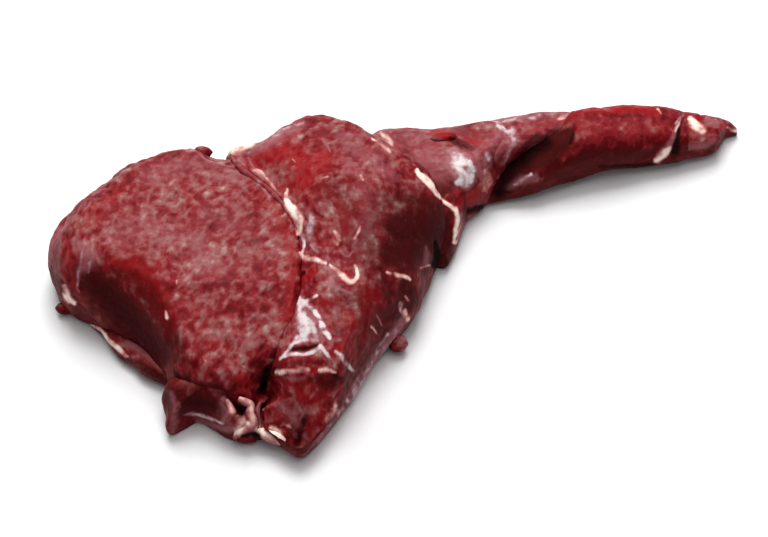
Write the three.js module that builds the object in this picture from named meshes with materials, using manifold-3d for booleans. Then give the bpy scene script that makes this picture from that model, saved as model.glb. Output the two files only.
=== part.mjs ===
// A raw rump steak with its tail, lying on its cut underside.
//
// The steak is one piece of meat, so it is one closed solid. It is put together from the muscles
// that can be told apart on it: each is a plump closed form of its own, and their union has the
// natural creases of the real cut where one muscle meets the next.
//
// Millimetres, +Z up, +X towards the tail, +Y towards the long straight back edge.

import * as THREE from 'three';
import Module from 'manifold-3d';

const wasm = await Module();
wasm.setup();

// Driving sizes

const REACH = 356; // length from the rounded head to the tip of the tail
const HEAD_TOP = 45; // thickness of the big round head muscle
const MIDDLE_TOP = 49; // thickness of the middle muscle, the highest of all
const NECK_TOP = 33; // thickness where the tail leaves the body
const TAIL_TOP = 27; // thickness of the tail
const WAIST = 13; // height at which a muscle's side stands out furthest
const TUCK = 5; // how far the foot of a side draws in under its waist
const LUMP = 17; // spacing of the soft lumps of the flesh
const LUMP_DEPTH = 1.3; // how far the lumps stand out and sink in
const DIMPLE = 9; // spacing of the smaller dimples between them
const DIMPLE_DEPTH = 0.7;
const FLAT_BELOW = 5; // the relief fades out below this height, so that the underside stays flat
const SHORTEST_EDGE = 0.05; // slivers where two muscles cross are smoothed away below this size

// Maths shared by all muscles

const smooth = (a, b, x) => {
  const t = Math.min(1, Math.max(0, (x - a) / (b - a)));
  return t * t * (3 - 2 * t);
};

// The lower of two heights, with a rounded edge where they cross.
const lower = (a, b) => (a + b) / 2 - Math.sqrt((a - b) ** 2 + 16) / 2;

const bell = (x, y, cx, cy, spread) => Math.exp(-((x - cx) ** 2 + (y - cy) ** 2) / (2 * spread * spread));

// 1 on a line of plan points, easing to 0 on both sides of it.
function near(x, y, line, spread) {
  let least = Infinity;
  for (let n = 0; n + 1 < line.length; n++) {
    const [[ax, ay], [bx, by]] = [line[n], line[n + 1]];
    const [dx, dy] = [bx - ax, by - ay];
    const t = Math.min(1, Math.max(0, ((x - ax) * dx + (y - ay) * dy) / (dx * dx + dy * dy)));
    least = Math.min(least, Math.hypot(x - ax - t * dx, y - ay - t * dy));
  }
  return Math.exp(-(least ** 2) / (2 * spread * spread));
}

const corner = (i, j, k) => {
  const s = Math.sin(i * 127.1 + j * 311.7 + k * 74.7) * 43758.5453;
  return s - Math.floor(s);
};

// Smooth noise from -1 to 1: the corners of a unit lattice have fixed values, eased in between.
function noise(x, y, z) {
  const [i, j, k] = [Math.floor(x), Math.floor(y), Math.floor(z)];
  const [u, v, w] = [smooth(0, 1, x - i), smooth(0, 1, y - j), smooth(0, 1, z - k)];
  let sum = 0;
  for (const a of [0, 1]) {
    for (const b of [0, 1]) {
      for (const c of [0, 1]) {
        const share = (a ? u : 1 - u) * (b ? v : 1 - v) * (c ? w : 1 - w);
        sum += share * corner(i + a, j + b, k + c);
      }
    }
  }
  return 2 * sum - 1;
}

const relief = (p) =>
  smooth(0, FLAT_BELOW, p.z) *
  (LUMP_DEPTH * noise(p.x / LUMP, p.y / LUMP, p.z / LUMP) +
    DIMPLE_DEPTH * noise(p.x / DIMPLE, p.y / DIMPLE, p.z / DIMPLE));

// A curve through the points, closed into a loop or left open.
const splined = (points, closed = false) => new THREE.CatmullRomCurve3(points, closed, 'catmullrom', 0.5);

// Closes a list of triangles into a geometry and gives its skin the soft relief of flesh.
function flesh(points, index) {
  const geometry = new THREE.BufferGeometry().setFromPoints(points);
  geometry.setIndex(index);
  geometry.computeVertexNormals();
  const normal = new THREE.Vector3();
  points.forEach((p, n) => {
    normal.fromBufferAttribute(geometry.attributes.normal, n);
    p.addScaledVector(normal, relief(p)).setZ(Math.max(0, p.z));
  });
  geometry.setFromPoints(points);
  return geometry;
}

// Two triangles for the four corners a, b, c and d, split along the shorter diagonal.
function quad(points, index, a, b, c, d) {
  const split = points[a].distanceTo(points[c]) <= points[b].distanceTo(points[d]);
  index.push(...(split ? [a, b, c, a, c, d] : [a, b, d, b, c, d]));
}

// Joins rings of equal count, which follow each other in points from the given first ring on.
function band(points, index, firstRing, ringCount, around) {
  const at = (ring, i) => firstRing + ring * around + (i % around);
  for (let r = 0; r + 1 < ringCount; r++) {
    for (let i = 0; i < around; i++) {
      quad(points, index, at(r, i), at(r + 1, i), at(r + 1, i + 1), at(r, i + 1));
    }
  }
}

// Closes the ring that starts at index start with a fan on one point.
function fan(index, start, around, point, facesOn) {
  for (let i = 0; i < around; i++) {
    const [a, b] = [start + i, start + ((i + 1) % around)];
    index.push(...(facesOn ? [point, a, b] : [a, point, b]));
  }
}

// A broad muscle, from its plan outline. Each outline point is x, y and the radius of the shoulder
// there, over which the side rounds into the top. The top is a square lattice that is drawn out to
// a disc and from there to the outline, so that its cells stay even; the shoulder and the side are
// rings below its edge, and under the waist the side tucks in to a flat foot.
function pad({ outline, crown, top, waist = WAIST, tuck = TUCK, half, shoulderRings = 5 }) {
  const curve = splined(outline.map((p) => new THREE.Vector3(...p)), true);
  const disc = (i, j) => {
    const [u, v] = [i / half, j / half];
    const [x, y] = [u * Math.sqrt(1 - (v * v) / 2), v * Math.sqrt(1 - (u * u) / 2)];
    return { radius: Math.hypot(x, y), turn: (Math.atan2(y, x) / (2 * Math.PI) + 1) % 1 };
  };
  const place = (turn, share, height) => {
    const rim = curve.getPointAt(turn);
    const length = Math.hypot(rim.x - crown[0], rim.y - crown[1]);
    const s = share(length, rim.z);
    const x = crown[0] + (rim.x - crown[0]) * s;
    const y = crown[1] + (rim.y - crown[1]) * s;
    return new THREE.Vector3(x, y, height(x, y, length * (1 - s), rim.z));
  };
  const rise = (x, y, inward, shoulder) => {
    const q = Math.max(0, 1 - inward / shoulder);
    return waist + (top(x, y) - waist) * Math.sqrt(1 - q * q);
  };

  const points = [];
  const index = [];
  const cell = (i, j) => (i + half) * (2 * half + 1) + j + half;
  for (let i = -half; i <= half; i++) {
    for (let j = -half; j <= half; j++) {
      const { radius, turn } = disc(i, j);
      points.push(place(turn, (length, shoulder) => (1 - shoulder / length) * radius, rise));
    }
  }
  for (let i = -half; i < half; i++) {
    for (let j = -half; j < half; j++) {
      quad(points, index, cell(i, j), cell(i + 1, j), cell(i + 1, j + 1), cell(i, j + 1));
    }
  }

  const edge = [];
  for (let j = -half; j < half; j++) edge.push([half, j]);
  for (let i = half; i > -half; i--) edge.push([i, half]);
  for (let j = half; j > -half; j--) edge.push([-half, j]);
  for (let i = -half; i < half; i++) edge.push([i, -half]);

  const around = edge.length;
  const firstRing = points.length;
  const ring = (share, height) => {
    for (const [i, j] of edge) points.push(place(disc(i, j).turn, share, height));
  };
  for (let n = 1; n <= shoulderRings; n++) {
    const bend = Math.sin((n / shoulderRings) * (Math.PI / 2));
    ring((length, shoulder) => 1 - (shoulder / length) * (1 - bend), rise);
  }
  for (const bend of [0.35, 0.7, 1].map((t) => (t * Math.PI) / 2)) {
    ring((length) => 1 - (tuck / length) * (1 - Math.cos(bend)), () => waist * (1 - Math.sin(bend)));
  }
  band(points, index, firstRing, shoulderRings + 3, around);
  fan(index, firstRing + (shoulderRings + 2) * around, around, points.length, false);
  points.push(new THREE.Vector3(crown[0], crown[1], 0));
  edge.forEach(([i, j], n) => {
    const [k, l] = edge[(n + 1) % around];
    quad(points, index, cell(i, j), firstRing + n, firstRing + ((n + 1) % around), cell(k, l));
  });
  return flesh(points, index);
}

// A long muscle, swept along a plan path. Each station is x, y, width and height; the section is a
// rounded rectangle that stands on z = 0, and undercut draws the foot of its right-hand side in.
function strap({ stations, around = 26, along, squareness = 2.8, undercut = 0 }) {
  const path = splined(stations.map(([x, y]) => new THREE.Vector3(x, y, 0)));
  const sizes = splined(stations.map(([, , width, height]) => new THREE.Vector3(width, height, 0)));
  const power = (c) => Math.sign(c) * Math.abs(c) ** (2 / squareness);
  const points = [];
  const index = [];
  for (let n = 0; n <= along; n++) {
    const t = n / along;
    const centre = path.getPoint(t);
    const [width, height] = sizes.getPoint(t).toArray();
    const tangent = path.getTangent(t);
    for (let i = 0; i < around; i++) {
      const turn = (i / around) * 2 * Math.PI;
      const up = (height / 2) * (1 - power(Math.sin(turn)));
      const side = power(Math.cos(turn));
      const out = (width / 2) * side + (side < 0 ? -side * undercut * (1 - up / height) : 0);
      points.push(new THREE.Vector3(centre.x - tangent.y * out, centre.y + tangent.x * out, up));
    }
  }
  band(points, index, 0, along + 1, around);
  for (const [n, [x, y, , height]] of [[0, stations[0]], [along, stations.at(-1)]]) {
    fan(index, n * around, around, points.length, n === 0);
    points.push(new THREE.Vector3(x, y, height / 2));
  }
  return flesh(points, index);
}

// A thin cord of fat or sinew, or a small nub of flesh, from stations of x, y, z and radius.
function cord({ stations, around = 7, along }) {
  const path = splined(stations.map(([x, y, z]) => new THREE.Vector3(x, y, z)));
  const radii = splined(stations.map(([, , , radius]) => new THREE.Vector3(radius, 0, 0)));
  const points = [];
  const index = [];
  const up = new THREE.Vector3(0, 0, 1);
  for (let n = 0; n <= along; n++) {
    const tangent = path.getTangent(n / along);
    const side = new THREE.Vector3().crossVectors(up, tangent).normalize();
    const over = new THREE.Vector3().crossVectors(tangent, side);
    for (let i = 0; i < around; i++) {
      const turn = (-i / around) * 2 * Math.PI;
      const radius = radii.getPoint(n / along).x;
      const point = path.getPoint(n / along);
      point.addScaledVector(side, radius * Math.cos(turn)).addScaledVector(over, radius * Math.sin(turn));
      points.push(point.setZ(Math.max(0, point.z)));
    }
  }
  band(points, index, 0, along + 1, around);
  fan(index, 0, around, points.length, true);
  points.push(path.getPoint(0));
  fan(index, along * around, around, points.length, false);
  points.push(path.getPoint(1));
  return new THREE.BufferGeometry().setFromPoints(points).setIndex(index);
}

// The muscles

const SEAM = [[-80, 42], [-62, 26], [-47, 8], [-40, -18], [-42, -46], [-44, -74], [-52, -98]];
const PIT = [-57, -92, 5]; // place and spread of the deep dark gap between the head and the front end
const PIT_DEPTH = 18;

const headTop = (x, y) =>
  HEAD_TOP + 2 * bell(x, y, -128, 2, 26) - 0.3 * Math.max(0, -45 - y) - 2 * bell(x, y, -78, -30, 24) -
  7 * bell(x, y, -85, 43, 6) - 4 * bell(x, y, -72, 40, 9) - PIT_DEPTH * bell(x, y, ...PIT);

const head = () =>
  pad({
    outline: [
      [-90, 51, 12], [-103, 51, 14], [-115, 49, 15], [-127, 44, 16], [-137, 36, 17], [-150, 23, 20],
      [-160, 11, 24], [-167, -9, 21], [-164, -24, 22], [-157, -34, 24], [-147, -40, 25], [-137, -46, 25],
      [-126, -53, 24], [-116, -62, 23], [-106, -75, 21], [-99, -88, 17], [-88, -97, 13], [-74, -99, 11],
      [-61, -98, 9], [-49, -84, 8], [-39, -58, 8], [-36, -25, 8], [-43, 4, 7], [-56, 26, 7], [-73, 44, 7],
    ],
    crown: [-84, -8],
    top: headTop,
    half: 12,
  });

const FRONT_EDGE = -88; // where the top of the middle muscle breaks into its sloping front face

const middleTop = (x, y) => {
  const top = MIDDLE_TOP + 2 * bell(x, y, -22, 28, 26) - 0.12 * Math.max(0, -y) - 0.25 * Math.max(0, x);
  const face = 37 + 1.15 * (y - FRONT_EDGE);
  const sunk = 4 * near(x, y, SEAM, 6) + 5 * bell(x, y, -74, 48, 9);
  return lower(top - sunk, face) - PIT_DEPTH * bell(x, y, ...PIT);
};

const middle = () =>
  pad({
    outline: [
      [10, 50, 16], [-3, 58, 15], [-12, 63, 15], [-23, 68, 14], [-34, 70, 14], [-44, 69, 14], [-53, 62.5, 13],
      [-66, 51.5, 12], [-81, 50, 9], [-76, 34, 9], [-60, 16, 9], [-51, -3, 9], [-48, -18, 9], [-49, -46, 9],
      [-50, -74, 9], [-57, -97, 8], [-57, -109, 7], [-47, -118, 7], [-40, -122, 7], [-32.5, -115, 8],
      [-23, -101, 10], [-16, -88, 14], [-10, -76, 18], [-3, -63, 22], [6, -52, 26], [16, -37.5, 29],
      [21.5, -22.5, 30], [28, -3, 30], [33, 14, 27], [27, 34, 20],
    ],
    crown: [-22, 2],
    top: middleTop,
    half: 11,
  });

const flapTop = (x, y) => {
  const ends = 8 * bell(x, y, -105, -106, 8) + 9 * bell(x, y, -101, -79, 8) + 12 * bell(x, y, -55, -104, 6);
  const hollows = 9 * bell(x, y, -69, -101, 4) + 14 * bell(x, y, -57, -91, 7);
  return 25 + 0.25 * (y + 95) - ends - hollows;
};

const flap = () =>
  pad({
    outline: [
      [-86, -72, 7], [-99.5, -79, 7], [-106, -88, 6], [-105, -97, 5], [-104, -106, 4], [-98, -103, 5],
      [-91, -99, 6], [-82, -104, 7], [-74, -109, 7], [-66, -110, 7], [-54, -106, 6], [-60, -84, 7],
    ],
    crown: [-83, -90],
    top: flapTop,
    waist: 8,
    tuck: 3,
    half: 5,
    shoulderRings: 4,
  });

const rimRoll = () =>
  strap({
    stations: [
      [-149, 20, 6, 22], [-156, 10, 12, 29], [-161, -4, 13, 31], [-160, -16, 12, 28], [-154, -27, 6, 17],
    ],
    around: 14,
    along: 12,
  });

const lip = () =>
  strap({
    stations: [
      [-145, -36, 5, 4], [-135, -44, 10, 8], [-125.5, -55, 14, 9], [-118, -60, 14, 10], [-110, -67, 14, 10],
      [-103, -73, 10, 9], [-98, -76, 5, 6],
    ],
    around: 12,
    along: 14,
  });

const neck = () =>
  pad({
    outline: [
      [24, 76, 14], [6, 75, 12], [-16, 60, 12], [-5, 30, 10], [18, 24, 10], [38, 26, 12], [50, 36, 12],
      [60, 50, 12], [70, 70, 10], [60, 80.5, 12], [42, 78, 14],
    ],
    crown: [30, 52],
    top: (x, y) => NECK_TOP + 0.05 * (30 - x) - 4 * bell(x, y, 14, 60, 8) - 0.35 * Math.max(0, 42 - y),
    waist: 9,
    tuck: 4,
    half: 7,
  });

const edgeStrip = () =>
  strap({
    stations: [[26, 44, 14, 26], [35, 33, 15, 26], [32.5, 20, 15, 22], [29.5, 9, 13, 17], [28, 0, 8, 12]],
    around: 16,
    along: 12,
  });

const tailCap = () =>
  strap({
    stations: [
      [30, 56, 34, 30], [48, 61.5, 34, 30], [66, 70, 28, 31], [84, 76, 22, 30], [97, 81, 15, 27],
      [105, 84, 7, 20],
    ],
    along: 16,
    undercut: 9,
  });

const tailCore = () =>
  strap({
    stations: [
      [46, 44.5, 9, 8], [60, 51, 18, 14], [74, 57, 24, 20], [88, 65, 29, 26], [104, 73, 32, 30],
      [124, 78, 33, TAIL_TOP], [142, 81, 30, 24], [156, 83, 25, 20], [162, 83, 20, 16],
    ],
    along: 26,
  });

const tailEnd = () =>
  strap({
    stations: [
      [150, 83, 16, 14], [158, 83, 24, 19], [168, 84.5, 23, 18], [173, 87.5, 17, 17], [179, 91.5, 9, 13],
      [184, 92.5, 5, 9], [REACH - 169, 93, 3, 4],
    ],
    around: 20,
    along: 14,
  });

// Nubs of flesh and strands of fat that stand out of the muscles

const nub = (x, y, z, radius, reach) =>
  cord({
    stations: [[x - reach, y, z, radius * 0.5], [x, y, z, radius], [x + reach, y, z, radius * 0.5]],
    along: 5,
  });

// Strands and a block of fat hang down the front, over the flap and the gap beside it.
const STRAND_LEFT = [
  [-75.3, -99.5, 21.5, 1], [-73.8, -101.5, 19.5, 1.6], [-72.4, -104.8, 18.2, 1.6], [-73.4, -107.6, 16, 1],
];
const STRAND_RIGHT = [
  [-69, -99.5, 22, 1], [-66, -101, 21.5, 1.6], [-63, -101.8, 20, 1.6], [-63.8, -105, 18.5, 1.7],
  [-62.2, -108.3, 15.5, 2.3], [-64, -109.8, 12, 2.3], [-69, -110.6, 9.5, 2], [-72, -110.6, 4, 1.2],
];
const STRAND_THIN = [
  [-59, -97.5, 17, 1], [-60.3, -102, 16, 1.4], [-59.5, -106, 12.5, 1.4], [-60, -108.3, 9.5, 0.9],
];
const FAT_BLOCK = [
  [-60.5, -108.5, 8, 1.5], [-56, -110.5, 8, 2.7], [-51, -112.2, 7.5, 2.7], [-47.5, -113.5, 6.5, 1.4],
];

const scraps = () => [
  nub(-92, 47, 36, 3.5, 4), // at the back edge of the head
  nub(31, 61, 32, 3.5, 6), // on the neck
  nub(6.5, -52.5, 5, 4.5, 4), // at the foot of the middle muscle
  nub(-159, -29, 4, 3.5, 4), // at the foot of the head
  nub(-66, -108, 4, 4, 5), // in the gap at the front
  nub(-57, -99, 12, 2, 1.5), // a bit of fat in the deep gap
  cord({ stations: STRAND_LEFT, along: 7 }),
  cord({ stations: STRAND_RIGHT, along: 18 }),
  cord({ stations: STRAND_THIN, along: 6 }),
  cord({ stations: FAT_BLOCK, along: 7 }),
];

// The union of the muscles

function toManifold(geometry) {
  return new wasm.Manifold(
    new wasm.Mesh({
      numProp: 3,
      vertProperties: new Float32Array(geometry.attributes.position.array),
      triVerts: new Uint32Array(geometry.index.array),
    }),
  );
}

const body = [head(), rimRoll(), lip(), flap(), middle(), edgeStrip(), neck()];
const tail = [tailCap(), tailCore(), tailEnd()];
const joined = [...body, ...tail, ...scraps()].map(toManifold).reduce((sum, piece) => sum.add(piece));
const whole = joined.simplify(SHORTEST_EDGE);

const { vertProperties, triVerts } = whole.getMesh();
const form = new THREE.BufferGeometry();
form.setAttribute('position', new THREE.BufferAttribute(new Float32Array(vertProperties), 3));
form.setIndex(new THREE.BufferAttribute(new Uint32Array(triVerts), 1));
form.computeVertexNormals();
form.computeBoundingBox();

const rawMeat = new THREE.MeshStandardMaterial({ color: 0x7d1c1f, roughness: 0.42, metalness: 0 });
const steak = new THREE.Mesh(form, rawMeat);
steak.name = 'rump_steak';

// The origin is under the middle of the steak's own box, on the surface that it lies on.
const middlePoint = form.boundingBox.getCenter(new THREE.Vector3());
steak.position.set(-middlePoint.x, -middlePoint.y, -form.boundingBox.min.z);

const group = new THREE.Group();
group.add(steak);

export default group;
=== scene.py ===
# %% [markdown]
# A raw rump steak with its tail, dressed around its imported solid.
#
# On the real cut, plump muscles lie side by side under wet skin, and the eye reads three things:
# the creases where they meet, the grain of the cut fibres, and the white threads of fat and sinew.
# It could be made as one sculpted mesh. Here each muscle is a surface of its own, worked out from
# the same named sizes as the solid, because then every crease falls where two muscles really meet
# and each muscle can carry its own direction of grain.

# %% Load the frame and keep the size of the solid
import math

import bpy
import numpy as np
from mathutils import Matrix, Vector


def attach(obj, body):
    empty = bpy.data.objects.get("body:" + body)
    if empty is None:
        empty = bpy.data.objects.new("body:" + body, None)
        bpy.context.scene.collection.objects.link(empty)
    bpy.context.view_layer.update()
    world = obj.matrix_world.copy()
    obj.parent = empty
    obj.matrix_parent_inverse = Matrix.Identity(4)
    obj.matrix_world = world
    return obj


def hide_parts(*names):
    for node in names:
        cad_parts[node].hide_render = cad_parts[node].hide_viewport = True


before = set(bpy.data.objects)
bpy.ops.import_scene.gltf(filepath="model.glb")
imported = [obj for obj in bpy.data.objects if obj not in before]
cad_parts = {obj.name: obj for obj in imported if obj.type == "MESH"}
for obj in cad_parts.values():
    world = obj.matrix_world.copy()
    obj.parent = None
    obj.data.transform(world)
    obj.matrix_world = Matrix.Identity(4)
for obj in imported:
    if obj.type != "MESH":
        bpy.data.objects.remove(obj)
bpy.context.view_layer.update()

# %% [markdown]
# The camera comes first, so that every later render can be laid beside the photograph. The steak
# was seen from the front and well above. A long lens from some way off keeps its tail as thick as
# it is. The plan of the muscles is drawn in millimetres round the point the camera looks at, and
# that point lies a little off the middle of the solid's box.

# %% Camera at the photograph's angle
PLAN_ZERO = np.array([-9.66, 12.58, 0.0])  # where the plan's own zero lies in the frame, in mm
ELEVATION = math.radians(50)
CAMERA_AWAY = 1.3  # metres
LENS, SENSOR = 120, 36  # mm

target = Vector(PLAN_ZERO / 1000)
camera_data = bpy.data.cameras.new("camera")
camera_data.lens = LENS
camera_data.sensor_width = SENSOR
camera = bpy.data.objects.new("camera", camera_data)
camera.location = target + CAMERA_AWAY * Vector((0, -math.cos(ELEVATION), math.sin(ELEVATION)))
camera.rotation_euler = (math.pi / 2 - ELEVATION, 0, 0)
bpy.context.collection.objects.link(camera)
bpy.context.scene.camera = camera
print("camera at", [round(v, 3) for v in camera.location])

# %% [markdown]
# Flesh is never smooth: it has soft lumps the size of a fingertip, dimples between them, and the
# fine grain of the fibres. All of that is noise, worked out for whole arrays of points at once.
# The first noise repeats the lumps of the solid, so that the dressed surface stays on it. Grain
# needs a direction: the same noise, averaged over a few steps along the fibres, is drawn out into
# short threads without bending the space, which a stretched noise would do.

# %% Noise and grain
def ease(low, high, x):
    """0 below low, 1 above high, and a smooth cubic step between them."""
    t = np.clip((x - low) / (high - low), 0, 1)
    return t * t * (3 - 2 * t)


def bell(x, y, cx, cy, spread):
    """A round hump of height 1 in plan: e to the power of minus the squared distance over spread."""
    return np.exp(-((x - cx) ** 2 + (y - cy) ** 2) / (2 * spread * spread))


def corner(i, j, k):
    """A fixed number from 0 to 1 for each corner of a unit lattice: the last digits of a large sine."""
    s = np.sin(i * 127.1 + j * 311.7 + k * 74.7) * 43758.5453
    return s - np.floor(s)


def noise(points, size, shift=0.0):
    """Smooth noise from -1 to 1 with cells of this size: eased sums of the eight corners' numbers.
    A shift, in cells, gives another noise of the same kind."""
    p = points / size + shift
    cell = np.floor(p)
    u, v, w = ease(0, 1, p - cell).T
    i, j, k = cell.T
    total = np.zeros(len(points))
    for a in (0, 1):
        for b in (0, 1):
            for c in (0, 1):
                share = (u if a else 1 - u) * (v if b else 1 - v) * (w if c else 1 - w)
                total += share * corner(i + a, j + b, k + c)
    return 2 * total - 1


# A turn of space, which keeps the directions of the noise's own lattice out of the grain.
TILT = np.array([[0.8, 0.36, 0.48], [-0.6, 0.48, 0.64], [0.0, -0.8, 0.6]])
GRAIN_STEPS = 7
CONTRAST = 1.9  # gives back the contrast that averaging takes away


def threads(points, along, width, length):
    """Noise with cells of this width, averaged over steps along the fibre, about -1 to 1."""
    total = np.zeros(len(points))
    for step in np.linspace(-0.5, 0.5, GRAIN_STEPS):
        total += noise((points + along * (step * length)) @ TILT, width)
    return total / GRAIN_STEPS * CONTRAST


print(f"a thread of grain is the mean of {GRAIN_STEPS} steps")

# %% [markdown]
# A broad muscle is a pillow: a plan outline, a height over the plan, and a shoulder over which the
# side rounds into the top. Its top is a square lattice that is drawn out to a disc and from there
# to the outline, so its cells stay even. Rings below its edge make the shoulder and the side, and
# a flat foot closes it.

# %% Surfaces: a pillow from an outline
def smooth_curve(points, closed, steps=40):
    """Catmull-Rom curve through the rows of points, with this many steps to a span."""
    p = np.asarray(points, float)
    if closed:
        padded = np.vstack([p[-1], p, p[0], p[1]])
    else:
        padded = np.vstack([2 * p[0] - p[1], p, 2 * p[-1] - p[-2]])
    a, b, c, d = padded[:-3, None], padded[1:-2, None], padded[2:-1, None], padded[3:, None]
    t = np.linspace(0, 1, steps, endpoint=False)[None, :, None]
    square, cube = 2 * a - 5 * b + 4 * c - d, 3 * b - a - 3 * c + d
    curve = 0.5 * (2 * b + (c - a) * t + square * t**2 + cube * t**3)
    last = padded[-2][None]
    return np.vstack([curve.reshape(-1, p.shape[1]), last])


def at_share(curve, share):
    """Points of the curve at these shares of its whole length."""
    gone = np.concatenate([[0], np.cumsum(np.linalg.norm(np.diff(curve, axis=0), axis=1))])
    return np.stack([np.interp(share * gone[-1], gone, column) for column in curve.T], axis=1)


def grid_faces(index):
    """Four-sided faces between the neighbours of a two-dimensional array of vertex numbers."""
    corners = [index[:-1, :-1], index[1:, :-1], index[1:, 1:], index[:-1, 1:]]
    return np.stack(corners, axis=-1).reshape(-1, 4)


def lattice(half):
    """Radius and turn in a unit disc for the points of a square lattice, and the order of its edge."""
    steps = np.linspace(-1, 1, 2 * half + 1)
    u, v = np.meshgrid(steps, steps, indexing="ij")
    x, y = u * np.sqrt(1 - v * v / 2), v * np.sqrt(1 - u * u / 2)
    index = np.arange(u.size).reshape(u.shape)
    edge = np.concatenate([index[-1, :-1], index[::-1, -1][:-1], index[0, ::-1][:-1], index[:-1, 0]])
    return np.hypot(x, y).ravel(), (np.arctan2(y, x).ravel() / (2 * np.pi)) % 1, index, edge


def pillow(outline, crown, top, waist, tuck, half, shoulder_rings=26, side_rings=10):
    """A closed muscle. Height over the plan is waist + (top - waist) * sqrt(1 - q * q), with q
    running from 0 where the shoulder begins to 1 at the rim; under the waist a quarter round
    draws in by tuck to the foot. Returns points in mm and lists of faces."""
    curve = smooth_curve(outline, closed=True)
    crown = np.asarray(crown, float)
    radius, turn, index, edge = lattice(half)

    def spread(turn, share_of):
        rim = at_share(curve, turn)
        arm = rim[:, :2] - crown
        length = np.linalg.norm(arm, axis=1)
        share = share_of(length, rim[:, 2])
        plan = crown + arm * share[:, None]
        q = np.clip(1 - length * (1 - share) / rim[:, 2], 0, 1)
        return plan, waist + (top(*plan.T) - waist) * np.sqrt(1 - q * q)

    plan, height = spread(turn, lambda length, shoulder: (1 - shoulder / length) * radius)
    rows = [np.column_stack([plan, height])]
    for bend in np.sin(np.linspace(0, np.pi / 2, shoulder_rings + 1)[1:]):
        plan, height = spread(turn[edge], lambda length, shoulder: 1 - shoulder / length * (1 - bend))
        rows.append(np.column_stack([plan, height]))
    for bend in np.linspace(0, np.pi / 2, side_rings + 1)[1:]:
        plan, _ = spread(turn[edge], lambda length, shoulder: 1 - tuck / length * (1 - np.cos(bend)))
        rows.append(np.column_stack([plan, np.full(len(plan), waist * (1 - np.sin(bend)))]))
    points = np.vstack(rows)
    around, rings = len(edge), shoulder_rings + side_rings
    ring_index = index.size + np.arange(rings * around).reshape(rings, around)
    ring_index = np.vstack([edge[None], ring_index])
    ring_index = np.hstack([ring_index, ring_index[:, :1]])
    foot = ring_index[-1]
    centre = len(points)
    points = np.vstack([points, [[*crown, 0.0]]])
    fan = np.stack([foot[:-1], np.full(around, centre), foot[1:]], axis=-1)
    return points, [grid_faces(index), grid_faces(ring_index), fan]


print("a lattice of 4 cells to each side has", len(lattice(4)[0]), "points")

# %% [markdown]
# The tail and the long edges are straps: a rounded section carried along a path on the floor. Cords
# of fat, sinew and the small nubs of flesh are round tubes along a path in space. Both are the same
# surface of two parameters, the way along and the turn around, with a fan over each end.

# %% Surfaces: straps and cords along a path
def tube(rings):
    """Closes an array of rings, shaped (along, around, 3), with a point in the middle of each end."""
    along, around, _ = rings.shape
    index = np.arange(along * around).reshape(along, around)
    index = np.hstack([index, index[:, :1]])
    first, last = along * around, along * around + 1
    points = np.vstack([rings.reshape(-1, 3), rings[0].mean(0), rings[-1].mean(0)])
    start = np.stack([np.full(around, first), index[0, :-1], index[0, 1:]], axis=-1)
    end = np.stack([index[-1, :-1], np.full(around, last), index[-1, 1:]], axis=-1)
    return points, [grid_faces(index), start, end]


SQUARENESS = 2.8  # of a strap's section: 2 is an ellipse, and more comes nearer to a rectangle


def full(wave):
    """A sine or cosine, filled out towards a square wave by the power 2 / SQUARENESS."""
    return np.sign(wave) * np.abs(wave) ** (2 / SQUARENESS)


def strap(stations, around, along, undercut=0.0):
    """A muscle along a path on the floor. Stations are x, y, width and height; the section is a
    filled-out cosine and sine, it stands on z = 0, and undercut draws the foot of its right-hand
    side in."""
    line = at_share(smooth_curve(stations, closed=False), np.linspace(0, 1, along))
    ahead = np.gradient(line[:, :2], axis=0)
    ahead /= np.linalg.norm(ahead, axis=1, keepdims=True)
    turn = np.linspace(0, 2 * np.pi, around, endpoint=False)
    side = full(np.cos(turn))
    lift = (1 - full(np.sin(turn))) / 2
    out = line[:, 2:3] / 2 * side + np.where(side < 0, -side * undercut * (1 - lift), 0)
    x = line[:, 0:1] - ahead[:, 1:2] * out
    y = line[:, 1:2] + ahead[:, 0:1] * out
    return tube(np.stack([x, y, line[:, 3:4] * lift], axis=-1))


def cord(stations, around, along):
    """A round cord through stations of x, y, z and radius: a circle square to the path at each."""
    line = at_share(smooth_curve(stations, closed=False), np.linspace(0, 1, along))
    ahead = np.gradient(line[:, :3], axis=0)
    ahead /= np.linalg.norm(ahead, axis=1, keepdims=True)
    side = np.cross([0.0, 0.0, 1.0], ahead)
    side /= np.linalg.norm(side, axis=1, keepdims=True)
    over = np.cross(ahead, side)
    turn = np.linspace(0, 2 * np.pi, around, endpoint=False)[None, :, None]
    radius = line[:, None, 3:4]
    rings = line[:, None, :3] + radius * (side[:, None] * np.cos(turn) - over[:, None] * np.sin(turn))
    rings[..., 2] = np.maximum(rings[..., 2], 0)
    return tube(rings)


test_points, _ = cord([(0, 0, 5, 2), (30, 0, 5, 2)], 12, 5)
print("a cord of 5 rings of 12 has", len(test_points), "points with its two ends")

# %% [markdown]
# Every surface becomes a piece the same way: its points move out along their normals by the relief,
# the marks on it are kept as attributes, and it rides on the steak's one body. Attributes are used
# for the marks because a baked surface and another view both keep them.

# %% From points to a piece
def normals_of(points, faces):
    """Unit normals: each face's cross product of its diagonals or sides, summed over its corners."""
    total = np.zeros_like(points)
    for group in faces:
        at = [points[column] for column in group.T]
        if len(at) == 4:
            face = np.cross(at[2] - at[0], at[3] - at[1])
        else:
            face = np.cross(at[1] - at[0], at[2] - at[0])
        for column in group.T:
            for axis in range(3):
                total[:, axis] += np.bincount(column, face[:, axis], len(points))
    return total / np.maximum(np.linalg.norm(total, axis=1, keepdims=True), 1e-12)


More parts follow.
